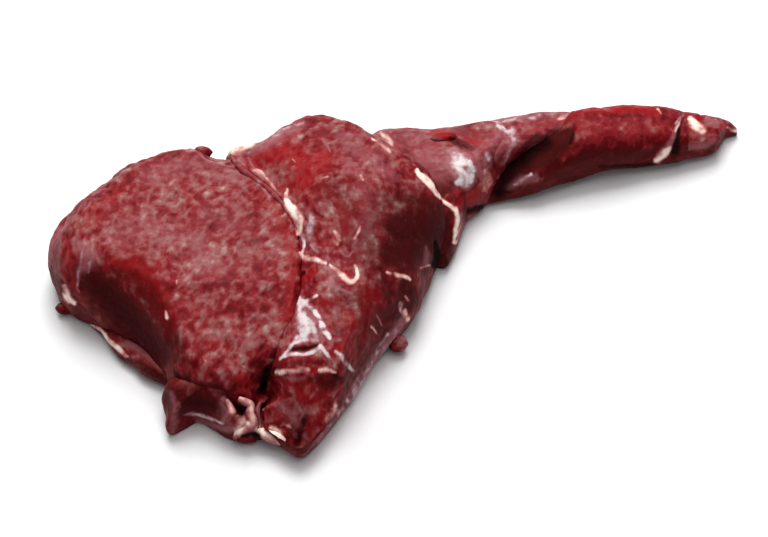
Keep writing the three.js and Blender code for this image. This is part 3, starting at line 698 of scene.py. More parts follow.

# %% [markdown]
# The middle muscle carries the most: silverskin with a slit in it, a curl of fat, a bright line
# over the front face, a red back and a right side painted dark as shade, as it faces away from the
# light. Painted highlights lie on the ridges of its front face, and painted sheen over the membrane
# on its edges. One broad stroke could not give an uneven field, so most fields are two or three
# strokes of different softness, one over the other.

# %% Strokes of the middle muscle
MIDDLE_MARKS = {
    "red back": ("red", 0.75, 1, [
        (-64, 55, 6.1), (-50.5, 59, 9.1), (-40, 51.5, 10.7), (-42.5, 42.5, 7.6), (-30, 57.5, 6.6),
    ]),
    "red in the grain": ("red", 0.5, 1, [(-22.5, 32, 5.1), (-20, 20.5, 5.1)]),
    "red under the second strand": ("red", 0.8, 0.9, [(-44.5, -7.5, 3), (-39.5, -4, 3), (-35.5, -1, 2)]),
    "red by the branch": ("red", 0.6, 0.9, [(-30, -18, 3), (-24, -16, 2)]),
    "red under the silverskin": ("red", 0.55, 0.8, [
        (-51, -47.5, 2.3), (-41, -46.5, 2.5), (-32.5, -46, 2.3),
    ]),
    "red slope": ("red", 0.6, 1, [(-25, -41.5, 3), (-17.5, -39, 3.6), (-13.5, -46.5, 3)]),
    "front face": ("red", 0.5, 1, [(-42.5, -61.5, 5.1), (-33.5, -69.5, 5.1), (-36.5, -82, 4.1)]),
    "red in the curl": ("red", 0.9, 0.5, [(-20, -1, 1), (-18.5, -3, 1)]),
    "bare red slope": ("red", 0.6, 1, [(-6, -14, 7.6), (-12, -28.5, 7.1), (-20, -24, 4.6)]),
    "crimson by the slit": ("red", 0.8, 0.8, [(20, 11.5, 2.3), (22, 7, 2.5), (21.5, 3, 1.8)]),
    # painted shade down to the band under the silverskin: the right side and its slopes face away from the
    # light
    "dark right side": ("deep", 1, 1, [
        (4, 21.5, 9.1), (11, 21.5, 15.7), (20.5, 21.5, 17.8), (31.5, 18.5, 12.7),
    ]),
    "dark right side, low": ("deep", 1, 1, [(4, 8.5, 11.2), (13, 7.5, 14.2), (25.5, 9.5, 10.2)]),
    "slope under it": ("deep", 0.6, 0.9, [
        (0.5, -8.5, 11.2), (7, -18.5, 10.2), (-2, -34, 9.6), (-11, -45.5, 7.1),
    ]),
    "along the fat line": ("deep", 0.8, 0.9, [(8, 37, 4.6), (23.5, 31.5, 4.6), (32, 25.5, 3.6)]),
    "above the nub": ("deep", 0.9, 0.9, [(10.5, -8.5, 6.1), (14, -16, 5.1), (7, -25, 3.6)]),
    "under the bright line": ("deep", 0.8, 0.9, [
        (-33.5, -56, 3.6), (-27.5, -57.5, 5.1), (-23.5, -56.5, 3.6),
    ]),
    "dark by the curl": ("dark", 0.35, 1, [
        (3, 18.5, 5.6), (13, 16.5, 8.6), (23.5, 16.5, 7.6), (29.5, 16.5, 4.6),
    ]),
    "band under the silverskin": ("deep", 1, 0.8, [
        (-49.5, -41.5, 1), (-44, -40.5, 1.5), (-38.5, -39.5, 1.5), (-34, -38.5, 1),
    ]),
    "pale back right": ("pale", 0.5, 1, [(-17.5, 62.5, 5.6), (-6, 56, 6.6), (4, 47.5, 5.1)]),
    "pale grain": ("pale", 0.3, 1, [(-20, 56, 4.6), (-11, 46, 5.6), (-8, 32, 5.1), (-9, 17, 4.1)]),
    # membrane on the back edge, partly painted sheen where the light from behind catches it
    "pale back edge": ("pale", 0.5, 0.8, [(-23.5, 67, 2.5), (-12, 67, 2)]),
    "pale line over the strand": ("pale", 0.7, 0.6, [
        (-26, 8, 0.5), (-22, 9, 0.6), (-18.5, 7, 0.8), (-15.5, 10, 0.5),
    ]),
    "pale line by the curl": ("pale", 0.7, 0.6, [
        (-27, -7.5, 0.8), (-21.5, -10.5, 0.8), (-16.5, -12.5, 0.8),
    ]),
    # painted highlights on the ridges and crests of the front face, down to the pink crest
    "ridges on the front face": ("skin", 0.35, 0.9, [(-53, -67, 1.3), (-50, -73, 2), (-46, -77, 1.5)]),
    "ridge, low": ("pale", 0.7, 0.6, [(-41, -74.5, 1), (-42.5, -77, 1)]),
    "ridges on the right": ("pale", 0.6, 0.6, [(-36, -63, 1), (-37.5, -65.5, 0.8)]),
    "salmon crest": ("fat", 0.68, 0.9, [(-24, -68, 1.3), (-26.5, -73, 2), (-29.5, -77, 1.5)]),
    "pink crest": ("fat", 0.4, 0.6, [(-23, -71.5, 1), (-24.5, -73.5, 1)]),
    # membrane along the side edge, brightened by painted highlights, here and in the next stroke
    "grey side edge": ("pale", 0.7, 0.9, [
        (10, -25, 2.5), (2, -39, 3.6), (-7, -53.5, 3.6), (-15, -68, 3), (-23, -79, 2.5), (-32.5, -89, 2),
    ]),
    "grey side edge, bright": ("skin", 0.6, 0.9, [
        (6, -32, 2.3), (-0.5, -43, 2.8), (-9, -55.5, 2.3), (-17.5, -67, 1.5),
    ]),
    "thin strands over the edge": ("pale", 0.7, 0.6, [(-4, -23.5, 0.5), (-1.5, -28.5, 0.6)]),
    "silvery corner": ("skin", 0.9, 1, [(-76.5, 56.5, 2.5), (-73.5, 53, 3.6), (-71.5, 49, 2.3)]),
    "fat corner": ("fat", 1.2, 0.9, [(-78.5, 59, 2.3), (-74.5, 60.5, 3), (-70, 61.5, 3), (-66.5, 62.5, 2)]),
    # membrane on the back edge, partly painted sheen where the light from behind catches it
    "silvery back edge": ("skin", 0.62, 1, [
        (-69, 59, 2), (-62, 62.5, 2.5), (-55.5, 67.5, 2.5), (-49, 71.5, 2.3), (-41, 74.5, 1.8),
    ]),
    "lilac field by the curl": ("skin", 0.6, 0.9, [
        (-30, 1.5, 2), (-26, -1, 3), (-27, -5, 2.8), (-30.5, -8, 1.5),
    ]),
    "curl": ("fat", 0.85, 0.7, [
        (-27.5, 2, 1), (-24, -1, 1.5), (-20.5, -4, 1.8), (-17.5, -6.5, 1.8), (-14.5, -5.5, 1.5),
        (-13.5, -2, 1.3), (-15, 1.5, 1),
    ]),
    "blotch over the curl": ("fat", 0.65, 0.9, [(-25, 18.5, 1.3), (-23, 15.5, 2), (-24, 12, 1)]),
    "blotch on the right": ("fat", 0.55, 0.9, [(-14.5, 16.5, 1.3), (-13, 19, 1), (-12, 21.5, 0.8)]),
    "white slash": ("skin", 1.25, 0.8, [
        (-46.5, -13.5, 1.5), (-43, -15.5, 2), (-39, -18.5, 2.2), (-35.5, -21.5, 2), (-33, -24.5, 1.3),
    ]),
    "branch of the slash": ("skin", 1.1, 0.8, [(-40.5, -17, 1.3), (-37, -15.5, 1.5), (-33.5, -14, 1)]),
    "purple vein": ("pale", 0.9, 0.8, [
        (-44, -17.5, 1.3), (-39.5, -21.5, 1.5), (-35, -25.5, 1.8), (-32, -30, 1.5), (-31.5, -37, 1.3),
    ]),
    "silverskin": ("skin", 0.95, 0.9, [
        (-43.5, -17.5, 2), (-41.5, -22, 3.8), (-40, -27, 5.3), (-39.5, -31, 6.1), (-41, -34.5, 3.6),
    ]),
    "silverskin, right": ("skin", 0.85, 1, [(-37, -27, 2), (-35.5, -31, 3), (-34.5, -35.5, 2.3)]),
    "second piece of silverskin": ("skin", 1.15, 0.8, [
        (-32.5, -27, 1.3), (-30.5, -30.5, 2.3), (-27.5, -35, 1.5),
    ]),
    "pale line under the slit": ("skin", 1.1, 0.7, [
        (-52, -45, 1), (-46, -43.5, 1.4), (-40.5, -43, 1.4), (-36, -42, 1.4), (-32.5, -40, 1.3),
    ]),
    "pale line down right": ("skin", 1, 0.7, [(-32.5, -39, 1.5), (-29.5, -42.5, 1.5), (-26.5, -47, 1.3)]),
    "pale streak on the right": ("skin", 0.8, 0.9, [
        (-24.5, -42, 1.3), (-21.5, -45, 1.8), (-18, -49, 1.8), (-15.5, -52, 1.3),
    ]),
    "grey blotch": ("skin", 0.6, 1, [(-25.5, -22, 1.3), (-23.5, -29, 1.8), (-22.5, -35.5, 2)]),
    "grey speck over the nub": ("skin", 0.6, 0.6, [(8.5, -17, 1.3), (8, -21, 1.3)]),
    "bright line, left end": ("fat", 1.1, 0.7, [(-54.5, -52.5, 1.3), (-52.5, -52.5, 1.7), (-50, -52, 1.3)]),
    "bright line, middle": ("fat", 0.72, 0.8, [
        (-52, -52, 1.5), (-46.5, -52, 1.8), (-41.5, -51.5, 1.8), (-38.5, -51.5, 1.3),
    ]),
    "bright line, red part": ("red", 1, 0.8, [(-39.5, -51.5, 1.5), (-36.5, -51.5, 1.8), (-33, -51.5, 1.5)]),
    "bright line, right end": ("fat", 1.1, 0.7, [
        (-33, -52, 1.3), (-30, -51.5, 1.7), (-27.5, -52, 1.5), (-24.5, -53, 1),
    ]),
    "thin strand on the right": ("fat", 0.7, 0.8, [
        (2, -1.5, 1), (6.5, -3, 1.3), (10.5, -4.5, 1.3), (13, -6, 0.9),
    ]),
    "its faint end": ("fat", 0.5, 0.8, [(18.5, 0.5, 0.8), (21, 1, 1), (24, 1.5, 0.8)]),
    "fleck over the nub": ("fat", 0.6, 0.5, [(11, -14, 0.8), (12, -16, 0.8)]),
    "fat by the nub": ("fat", 0.75, 0.8, [(9.5, -22, 2), (11.5, -25.5, 1.5)]),
    "fleck on the slope": ("fat", 0.6, 0.5, [(-6.5, -29.5, 0.8), (-4, -33, 0.8)]),
    "fleck by the crevice": ("fat", 0.5, 0.5, [(-32, 45, 0.8), (-29, 46, 0.9)]),
    "fleck at the back": ("fat", 0.45, 0.5, [(-46.5, 55, 0.6), (-45.5, 54, 0.6)]),
    "fleck on the grain": ("fat", 0.5, 0.5, [(-12, 47, 1), (-11, 45, 1)]),
    "grey streak at the back": ("pale", 0.8, 0.6, [(-31, 66, 0.8), (-29, 63, 0.9), (-27.5, 60.5, 0.6)]),
    "fat line, upper": ("fat", 1, 0.6, [
        (16.5, 50, 1), (19, 46.5, 1.5), (21.5, 43.5, 1.5), (24, 40, 1.4), (26.5, 37, 1.3), (29, 35.5, 1),
    ]),
    "fat line, middle": ("fat", 1, 0.7, [
        (27.5, 36.5, 1.3), (31.5, 34, 1.1), (34.5, 31.5, 1.3), (37, 29.5, 1.3),
    ]),
    "back fat": ("fat", 0.75, 0.7, [(-6, 66.5, 1), (-3, 64.5, 1.3), (0.5, 62, 1.4), (3.5, 59.5, 1)]),
    "crevice": ("slit", 0.3, 0.9, [(-36.5, 40, 0.8), (-32.5, 42, 1), (-27.5, 44.5, 1), (-21.5, 47, 0.8)]),
    "pit under the strand": ("slit", 0.7, 0.6, [(-41, -2.5, 1.3), (-43.5, -3.5, 1.3)]),
    "slit in the silverskin": ("slit", 0.35, 0.8, [
        (-48, -41.5, 1), (-41.5, -40.5, 1.3), (-35.5, -38.5, 1),
    ]),
    "shade under the bright line": ("dark", 0.6, 0.6, [(-25, -54.5, 1.5), (-21.5, -55.5, 1)]),
    "groove in the front": ("slit", 0.5, 1, [
        (-39.5, -74, 1), (-41, -79, 1.8), (-42.5, -84, 1.8), (-43.5, -90, 1.3),
    ]),
    "black slit on the right": ("slit", 0.6, 0.8, [(26.5, 13.5, 1), (27, 8, 1.5), (26.5, 1.5, 1.8)]),
    "shade on the grain": ("deep", 0.4, 1, [
        (-25, 40, 10.2), (-17.5, 27, 12.7), (-14.5, 12, 11.2), (-9.5, -1, 9.1),
    ]),
    "dark under the gap": ("dark", 0.7, 0.9, [(-58.5, -53.5, 2), (-59.5, -60.5, 2)]),
    # fat on the back edge, partly painted sheen
    "white back edge": ("fat", 0.5, 1, [(-64, 64.5, 1.3), (-59, 67.5, 1.5), (-53, 71, 1.3)]),
    "groove in the front, shade": ("deep", 0.6, 1, [(-42.5, -77, 4.1), (-44, -84, 4.6), (-45, -90, 3.6)]),
    "shade low on the grain": ("deep", 0.35, 1, [(-25, -16, 7.6), (-17.5, -23.5, 11.2), (-20, -34, 10.2)]),
    "pink under the bright line": ("pale", 0.5, 0.9, [
        (-51, -54.5, 1.3), (-44.5, -56.5, 1.5), (-40.5, -55.5, 1),
    ]),
    "pink flecks, front": ("skin", 0.4, 0.9, [(-51.5, -79, 1.3), (-46.5, -82, 1.8), (-44.5, -86, 1.3)]),
    "fat at the front foot": ("fat", 0.7, 0.9, [(-52.5, -79.5, 1), (-50.5, -79, 1.5), (-47.5, -80.5, 1)]),
    "red flecks on the front": ("pale", 0.45, 0.9, [(-54, -71, 2), (-47.5, -75, 2), (-42.5, -73, 1.5)]),
    "soft edge of the dark side": ("deep", 0.6, 1, [
        (-9, 14.5, 10.2), (-4, 27.5, 11.2), (7, 36, 11.2), (23.5, 33, 8.6),
    ]),
    # painted shade in the slit
    "black by the slit": ("dark", 1, 0.7, [(27, 14, 1.3), (27.5, 8, 2), (27, 1.5, 2.5)]),
    "pink by the slit": ("pale", 0.6, 1, [(21.5, 10.5, 1.5), (22.5, 6, 2), (22, 2, 1.5)]),
    "soft edge of the dark side, low": ("deep", 0.55, 1, [
        (-8, 18.5, 9.1), (-6, 5.5, 10.2), (0, -7, 11.2), (9, -11, 9.1),
    ]),
    "tan blotch by it": ("skin", 0.55, 1, [(-25.5, -25, 1.8), (-24, -28.5, 2.3), (-24.5, -33, 1.8)]),
    # painted shade over the bright line
    "band over the bright line": ("deep", 0.6, 0.9, [
        (-50, -48.5, 1.8), (-40.5, -47.5, 2.3), (-31.5, -47.5, 1.8),
    ]),
    "mauve field low on the front": ("pale", 0.55, 1, [(-53, -69, 3), (-47.5, -74, 4.6), (-44.5, -79, 3)]),
    "silverskin, foot": ("skin", 0.9, 0.9, [
        (-47.5, -38.5, 1), (-44, -37, 1.8), (-38.5, -36, 2), (-33.5, -36.5, 1.5),
    ]),
    "shade in the slit": ("dark", 0.55, 1, [
        (-47, -41, 0.8), (-43, -40.5, 1.3), (-38.5, -39.5, 1.3), (-35, -39, 0.8),
    ]),
    "shade under the curl": ("deep", 0.55, 1, [(-20, -14, 7.6), (-8, -18.5, 11.7), (-6, -30, 10.7)]),
    # membrane along the back edge, partly painted sheen
    "pale band along the back edge": ("pale", 0.6, 1, [
        (-68, 58, 3), (-60, 62, 3.6), (-52, 68, 3.3), (-41.5, 73, 3),
    ]),
    "cream beside the block": ("fat", 0.8, 1, [(-57, -81, 1.8), (-53.5, -83, 1.8), (-51, -85.5, 1)]),
    # membrane on the rim of the front, brightened by painted highlights, here and in the next stroke
    "lilac rim of the front": ("skin", 0.72, 0.9, [
        (2, -33.5, 1.8), (-3.5, -43, 2.3), (-8, -50.5, 2.8), (-13.5, -60, 2.8), (-18, -67, 2.3),
    ]),
    "lilac rim of the front, low": ("skin", 0.62, 0.9, [
        (-20.5, -71, 2), (-26.5, -79, 2), (-33.5, -87, 2), (-38.5, -92, 1.5),
    ]),
}
print(len(MIDDLE_MARKS), "strokes")

# %% [markdown]
# The neck and the cap of the tail are under membrane, with white silverskin on the neck; a painted
# reflection brightens the silverskin, and painted sheen lies on the cap and on the lip of the core. The
# core of the tail is bare and red, with a hollow where it comes out from under the cap that is
# painted dark as shade. A groove with fat along it parts the core from the end, and both take the
# same stroke for it.

# %% Strokes of the neck and the tail
NECK_MARKS = {
    "grey top": ("pale", 0.6, 1, [(5.5, 68, 3.6), (18.5, 68.5, 3), (27.5, 65.5, 2.5)]),
    "sheen on the top edge": ("skin", 0.5, 0.7, [(3, 69.5, 1), (13, 71, 1), (23.5, 69.5, 0.8)]),
    "bare red": ("red", 0.6, 1, [(15.5, 56, 4.6), (23.5, 47, 5.6), (30, 37.5, 4.6)]),
    # silverskin, with a painted reflection on its brightest part, down to the upper bright stroke
    "silverskin": ("skin", 1, 0.9, [(36, 59, 4.1), (39, 53, 7.1), (41, 46, 7.1)]),
    "bright silverskin": ("skin", 1.2, 0.9, [(37, 43.5, 2.5), (40.5, 45, 3.6), (44.5, 46.5, 2.8)]),
    "bright silverskin, upper": ("skin", 1, 0.9, [(43.5, 54, 2.3), (45.5, 50, 2.3)]),
    "grey by the silverskin": ("skin", 0.7, 1, [(51.5, 59, 2.5), (53, 54, 3.3), (51.5, 49, 2.5)]),
    "pink by the silverskin": ("pale", 0.7, 0.8, [(36, 60, 3), (46, 55, 4.1), (49, 47.5, 3)]),
    "red spot": ("red", 1, 0.8, [(43, 60.5, 1.3), (44.5, 57.5, 1.8), (46.5, 54, 1.3)]),
    # painted shade in the slit
    "slit": ("deep", 1, 0.8, [(33.5, 66.5, 1.3), (38.5, 64, 2), (44.5, 62, 1.8)]),
    "orange by the slit": ("red", 0.8, 0.8, [(43.5, 65.5, 1.8), (49, 64.5, 2), (53, 63, 1.5)]),
    "red under the silverskin": ("red", 1, 0.7, [
        (54.5, 45, 2.3), (52, 40, 3.3), (47, 36, 3.6), (41.5, 35, 3),
    ]),
    "red foot": ("red", 0.8, 0.9, [(33.5, 37.5, 3), (38.5, 33.5, 3.6), (42, 29, 2.5)]),
    "fat at the back": ("fat", 0.7, 0.8, [(-1.5, 68.5, 1), (1.5, 66, 2), (4, 62.5, 1.3)]),
    "red speck": ("red", 1, 0.5, [(6.5, 62, 1.5), (8, 60.5, 1)]),
    # painted shade
    "dark by the fat line": ("deep", 0.5, 1, [(10.5, 60, 3.6), (19.5, 51, 4.6), (28.5, 42, 4.1)]),
    # painted reflection on the silverskin
    "white core": ("skin", 1.2, 0.9, [(37.5, 51, 2.3), (41, 48, 3), (44, 44.5, 2.5)]),
    "fat line": ("fat", 1, 0.7, [
        (25, 38.5, 1.3), (28, 36, 1.3), (31.5, 33.5, 1.1), (34.5, 31, 1.3), (37, 28.5, 1.3),
    ]),
    "fold by the nub": ("red", 1, 0.8, [
        (23.5, 68.5, 2), (27.5, 69, 2.8), (31.5, 67.5, 2.5), (35.5, 65.5, 1.8),
    ]),
    "peach fold": ("fat", 0.45, 1, [(52, 49, 2.5), (53, 44.5, 3.6), (51.5, 40, 2.5)]),
    # painted shade at the foot
    "dark foot": ("dark", 0.8, 0.9, [(40.5, 28.5, 2), (45.5, 29.5, 2.5), (51, 31.5, 2)]),
    # painted sheen, carried on from the cap
    "white blotch of the cap": ("skin", 0.8, 1, [
        (58, 73.5, 2.3), (62.5, 70, 3.6), (62, 63, 2.5), (59, 56, 2),
    ]),
}
CAP_MARKS = {
    "sheen on the back edge": ("skin", 0.7, 1, [
        (47.5, 74, 2.3), (59, 75.5, 3), (71.5, 77, 2.5), (83.5, 78.5, 2),
    ]),
    # painted sheen on the membrane of the cap
    "white blotch": ("skin", 0.9, 0.9, [(60, 72, 2.3), (64, 69.5, 3.8), (66, 65.5, 2.3)]),
    "sheen down the cut edge": ("skin", 0.7, 0.9, [
        (67, 66.5, 1.5), (63.5, 60, 1.8), (60, 54, 1.5), (58, 48, 1.3),
    ]),
    "membrane": ("pale", 0.7, 1, [(49, 68, 3.6), (59, 65.5, 4.6), (54, 55, 4.1)]),
    "red edge": ("red", 0.7, 0.8, [(74, 70, 2), (83.5, 72.5, 2), (91.5, 74.5, 2)]),
    "fat": ("fat", 0.75, 0.9, [(89, 76, 1), (92, 77, 1.5), (95, 78, 1)]),
    "red fold": ("red", 0.9, 0.9, [(56, 47, 2), (54, 42, 2.8), (50, 37.5, 3)]),
}
CORE_MARKS = {
    # painted shade in the hollow under the cap, here and in the next stroke
    "hollow under the cap": ("deep", 1, 0.6, [
        (58, 39, 6.1), (64, 49, 10.7), (74, 57, 11.2), (85.5, 63, 9.6), (93.5, 67.5, 4.6),
    ]),
    "darkest hollow": ("dark", 0.7, 0.9, [(59, 39, 4.1), (63, 48, 7.1), (71, 57, 7.1), (82.5, 64, 4.6)]),
    "pink lip": ("pale", 0.7, 1, [(63, 41.5, 2.5), (69, 44.5, 3), (76.5, 46.5, 2.5)]),
    # painted sheen on the lip
    "silvery lip": ("skin", 0.85, 0.9, [(66.5, 43, 1.3), (70.5, 45.5, 1.8), (74.5, 48, 1.3)]),
    "crimson lip": ("red", 0.8, 0.6, [(63.5, 41, 1), (66.5, 42, 1)]),
    # painted sheen on the lip
    "grey lip": ("skin", 0.45, 0.6, [(75.5, 45, 1.3), (79.5, 46, 1.3)]),
    "red top": ("red", 0.9, 1, [(95.5, 79.5, 3.6), (109.5, 81, 3.6), (125, 81.5, 3.6), (138, 79.5, 3.6)]),
    "purple mottle": ("pale", 0.15, 1, [(109.5, 71.5, 6.6), (125, 72.5, 6.6), (137.5, 70.5, 4.6)]),
    "crack": ("slit", 0.5, 1, [(96.5, 72.5, 1), (96.5, 68.5, 1.3), (95, 63.5, 1)]),
    "fleck on top": ("fat", 0.6, 0.5, [(138.5, 80.5, 0.6), (140.5, 78.5, 0.6)]),
    "pale edge of the groove": ("skin", 0.8, 0.5, [(151, 76.5, 0.6), (149.5, 75, 0.9), (148, 73, 0.6)]),
    "fat along the groove": ("fat", 0.75, 0.9, [(151.5, 77, 0.8), (150, 73.5, 1), (148, 69.5, 0.9)]),
    # painted shade on the lower side and at the foot, here and in the next stroke
    "dark lower side": ("deep", 0.6, 1, [
        (89.5, 52.5, 5.1), (104.5, 56, 6.1), (120, 57, 5.6), (137.5, 58, 4.1),
    ]),
    "foot": ("dark", 0.6, 0.6, [(109.5, 52, 1.3), (125, 52, 1.3), (137.5, 53.5, 1.3)]),
    "groove": ("slit", 0.55, 1, [(152, 75.5, 1), (150, 69, 1.5), (148, 63, 2), (146.5, 57, 2)]),
    # painted shade over the side of the core
    "shaded side": ("deep", 0.22, 1, [
        (89.5, 60, 10.2), (104.5, 64, 11.2), (125, 65.5, 11.2), (144, 66.5, 9.1),
    ]),
    "shade by the groove": ("dark", 0.8, 0.8, [(150.5, 71.5, 1), (149.5, 66.5, 2), (147.5, 60, 2.8)]),
    "fat at the foot of the groove": ("fat", 1, 0.9, [(145, 61.5, 1.3), (142, 58.5, 2.3), (138.5, 55, 2)]),
    "pink along the groove": ("pale", 0.8, 1, [(148.5, 70.5, 1.5), (145, 64, 2), (142, 59, 2.5)]),
    "crimson core": ("red", 0.4, 1, [
        (99.5, 70.5, 7.6), (115, 70.5, 8.6), (130, 70.5, 8.6), (142, 68.5, 6.6),
    ]),
}
END_MARKS = {
    "groove": CORE_MARKS["groove"],
    "red round the fat": ("red", 1, 0.9, [(153.5, 77.5, 2.3), (154.5, 70.5, 3), (160.5, 77, 1.8)]),
    "fat": ("fat", 1, 0.7, [(155.5, 75.5, 2), (158.5, 72.5, 3.3), (161.5, 70, 2.3)]),
    "purple top": ("pale", 0.7, 0.8, [(164.5, 75.5, 2.5), (169.5, 73.5, 2)]),
    "sheen on top": ("skin", 0.5, 0.7, [(164, 77.5, 1.3), (168.5, 76, 1)]),
    "crimson tip": ("red", 1, 0.6, [(172.5, 72.5, 2), (174.5, 70, 2)]),
    "purple foot": ("pale", 0.7, 0.8, [(155.5, 62, 2.5), (163, 62, 2.5), (168, 65.5, 2)]),
    "grey streak": ("skin", 0.5, 0.6, [(156, 64.5, 0.8), (160, 64, 0.8)]),
    "yellow tip": ("fat", 0.9, 0.8, [(174.5, 71.5, 0.8), (177, 70.5, 1.3), (180, 70, 1.3)]),
    "shade by the groove": ("dark", 0.8, 0.8, [(151.5, 71.5, 1), (150.5, 66.5, 2), (149, 60, 2.8)]),
    "shade at the start": ("deep", 0.7, 1, [(153.5, 73.5, 3), (152.5, 65.5, 4.1), (151.5, 57, 3.6)]),
}
print(len(NECK_MARKS) + len(CAP_MARKS) + len(CORE_MARKS) + len(END_MARKS), "strokes")

# %% [markdown]
# The edges are thin and ragged: fat and membrane hang on them, and little light reaches the hollows, which
# are painted dark as shade.
# These strokes are for the small muscles and the strands of fat along the foot and the right side.

# %% Strokes of the edges and the flap
EDGE_MARKS = {
    "red top": ("red", 0.7, 0.9, [(39.5, 35, 2.5), (39.5, 29.5, 2)]),
    # painted shade on the side that faces away from the light
    "dark side": ("deep", 0.85, 0.9, [(32.5, 27, 4.1), (33, 14.5, 4.6), (32, 4.5, 4.1)]),
    "purple foot": ("pale", 0.5, 0.8, [(36.5, 10.5, 1.5), (35, 3.5, 1.5)]),
    "fat line, low": ("fat", 0.9, 0.8, [
        (36, 30.5, 1.3), (37.5, 26.5, 1.8), (38, 22, 2), (37, 17, 1.5), (36, 13, 1),
    ]),
    "fat line, upper": NECK_MARKS["fat line"],
    "salmon by the fat": ("pale", 0.7, 0.9, [(39.5, 27.5, 1.5), (40, 21.5, 1.5), (38.5, 15.5, 1.3)]),
}
LIP_MARKS = {
    # painted highlight along the crest of the lip
    "pink crest": ("pale", 0.75, 1, [
        (-130, -37.5, 2), (-122.5, -41.5, 2.8), (-115.5, -47.5, 2.8), (-108.5, -54, 2.5),
    ]),
    # painted shade at the foot of the lip
    "dark foot": ("deep", 0.9, 0.8, [
        (-134, -45.5, 1.5), (-126.5, -47.5, 2), (-119, -51.5, 2.5), (-111, -58.5, 2),
    ]),
    "fat at the foot": ("fat", 0.9, 0.7, [
        (-150.5, -28, 0.8), (-143.5, -31.5, 1), (-140, -35.5, 1.3), (-135.5, -40, 1.5),
        (-130.5, -44.5, 1.3),
    ]),
}
FLAP_MARKS = {
    # painted shade: the flap lies in shadow under the head
    "shade on the flap": ("deep", 0.85, 1, [(-105, -68, 14), (-70, -66, 14)]),
    "purple tip": ("pale", 0.6, 1, [
        (-108, -64, 2.3), (-106.5, -71, 3), (-107, -77, 3), (-107.5, -82, 2.3),
    ]),
    "pink fold over the tip": ("pale", 0.5, 0.7, [(-105, -68, 1), (-103, -71, 0.8)]),
    "membrane along the foot": ("skin", 0.75, 0.8, [
        (-101.5, -74.5, 1), (-94.5, -75.5, 1.3), (-87.5, -77, 1.3), (-81.5, -79, 1),
    ]),
    "mauve foot": ("pale", 0.7, 0.9, [(-94.5, -78.5, 2), (-86, -81, 2.5), (-78, -82, 2.5)]),
    # painted shade in the hollow
    "hollow": ("dark", 0.36, 1, [(-100.5, -67, 5.1), (-90.5, -69.5, 5.6), (-82.5, -69.5, 4.1)]),
    "bright red by the gap": ("red", 0.8, 0.9, [(-67, -63, 2.5), (-63.5, -67.5, 2.5)]),
    "mauve strands": ("pale", 0.8, 0.9, [(-81.5, -66, 1.8), (-78, -71, 2), (-81.5, -77, 2)]),
    "mauve strand, right": ("pale", 0.7, 0.9, [(-73, -67, 1.5), (-70, -73, 1.8), (-73, -79, 2)]),
    "beige field": ("fat", 0.7, 1, [(-75, -82, 2.3), (-73, -80, 3.3), (-70.5, -78, 2.5)]),
    # painted shade in the pit between the strands
    "dark pit between the strands": ("dark", 0.7, 1, [
        (-73.5, -68, 1.5), (-73, -71.5, 2.3), (-73, -75, 1.8),
    ]),
    # painted shade in the gap
    "dark gap under the strands": ("dark", 0.9, 0.9, [(-71, -85.5, 1.8), (-67, -84, 2.3), (-63.5, -85, 2)]),
    "mauve-brown field": ("pale", 0.5, 1, [(-82.5, -69, 2.5), (-80, -75, 3.6), (-79, -81, 3.6)]),
}
RIM_MARKS = {
    "grey-pink rim": ("pale", 0.75, 1, [(-164.5, 19.5, 3.6), (-167.5, 9.5, 4.1), (-167.5, 0.5, 4.1)]),
    "red rim": ("red", 0.6, 0.9, [
        (-162.5, 14.5, 2.5), (-163.5, 6.5, 3), (-164.5, -2, 3), (-163.5, -10, 2.5),
    ]),
    "fat on the rim": ("fat", 0.95, 0.8, [
        (-162.5, -8.5, 1.3), (-161.5, -12, 2), (-160.5, -15.5, 2), (-157.5, -18, 1.5),
    ]),
    "pink under it": ("fat", 0.5, 0.5, [(-161.5, -17, 1), (-158.5, -18, 1)]),
    # painted shade low on the rim
    "dark rim": ("deep", 0.6, 0.8, [(-167.5, -2, 1.3), (-165.5, -10, 1.3)]),
}
FRONT_MARKS = {
    "dark gap under the strands": FLAP_MARKS["dark gap under the strands"],
    "pink top of the left strand": ("fat", 0.66, 1, [(-80, -66.5, 1.8), (-79, -69.5, 2.3), (-77, -73, 2)]),
    "pink top of the right strand": ("fat", 0.7, 1, [
        (-73.5, -65.5, 2), (-70, -67, 2), (-67.5, -69, 2.5), (-67.5, -72.5, 2.5),
    ]),
    "salmon side": ("fat", 0.62, 1, [(-67.5, -73, 2.5), (-66.5, -77, 2.5), (-68, -80.5, 2)]),
    "beige patch": ("fat", 1.15, 1, [(-76, -83, 2.8), (-73, -81.5, 3.8), (-69.5, -79, 2.8)]),
    "red by the gap": ("red", 1, 0.9, [(-64.5, -66.5, 1.8), (-62, -67.5, 1.8)]),
    "olive spot": ("fat", 0.55, 1, [(-61, -72, 1.8), (-59.5, -74, 1.5)]),
    # painted shade on the side of the strand
    "dark side of the thin strand": ("deep", 0.9, 1, [(-64, -75, 1.8), (-64, -79, 1.8), (-64, -82, 1.5)]),
    "cream block": ("fat", 1.3, 0.9, [
        (-63.5, -82, 3), (-59.5, -83, 4.3), (-55.5, -85, 4.3), (-52, -87.5, 3),
    ]),
}

print(sum(map(len, (EDGE_MARKS, LIP_MARKS, FLAP_MARKS, RIM_MARKS, FRONT_MARKS))), "strokes")

# %% [markdown]
# The muscles take their outlines and heights from the solid, point for point, so that the dressed
# steak keeps its form. Sculpting over the solid would lose that. What is added on each is its grain
# and its strokes. Its steep sides are painted darker than its top as painted shade, and what faces
# up is painted lighter as painted light, as on a cut lit from above.

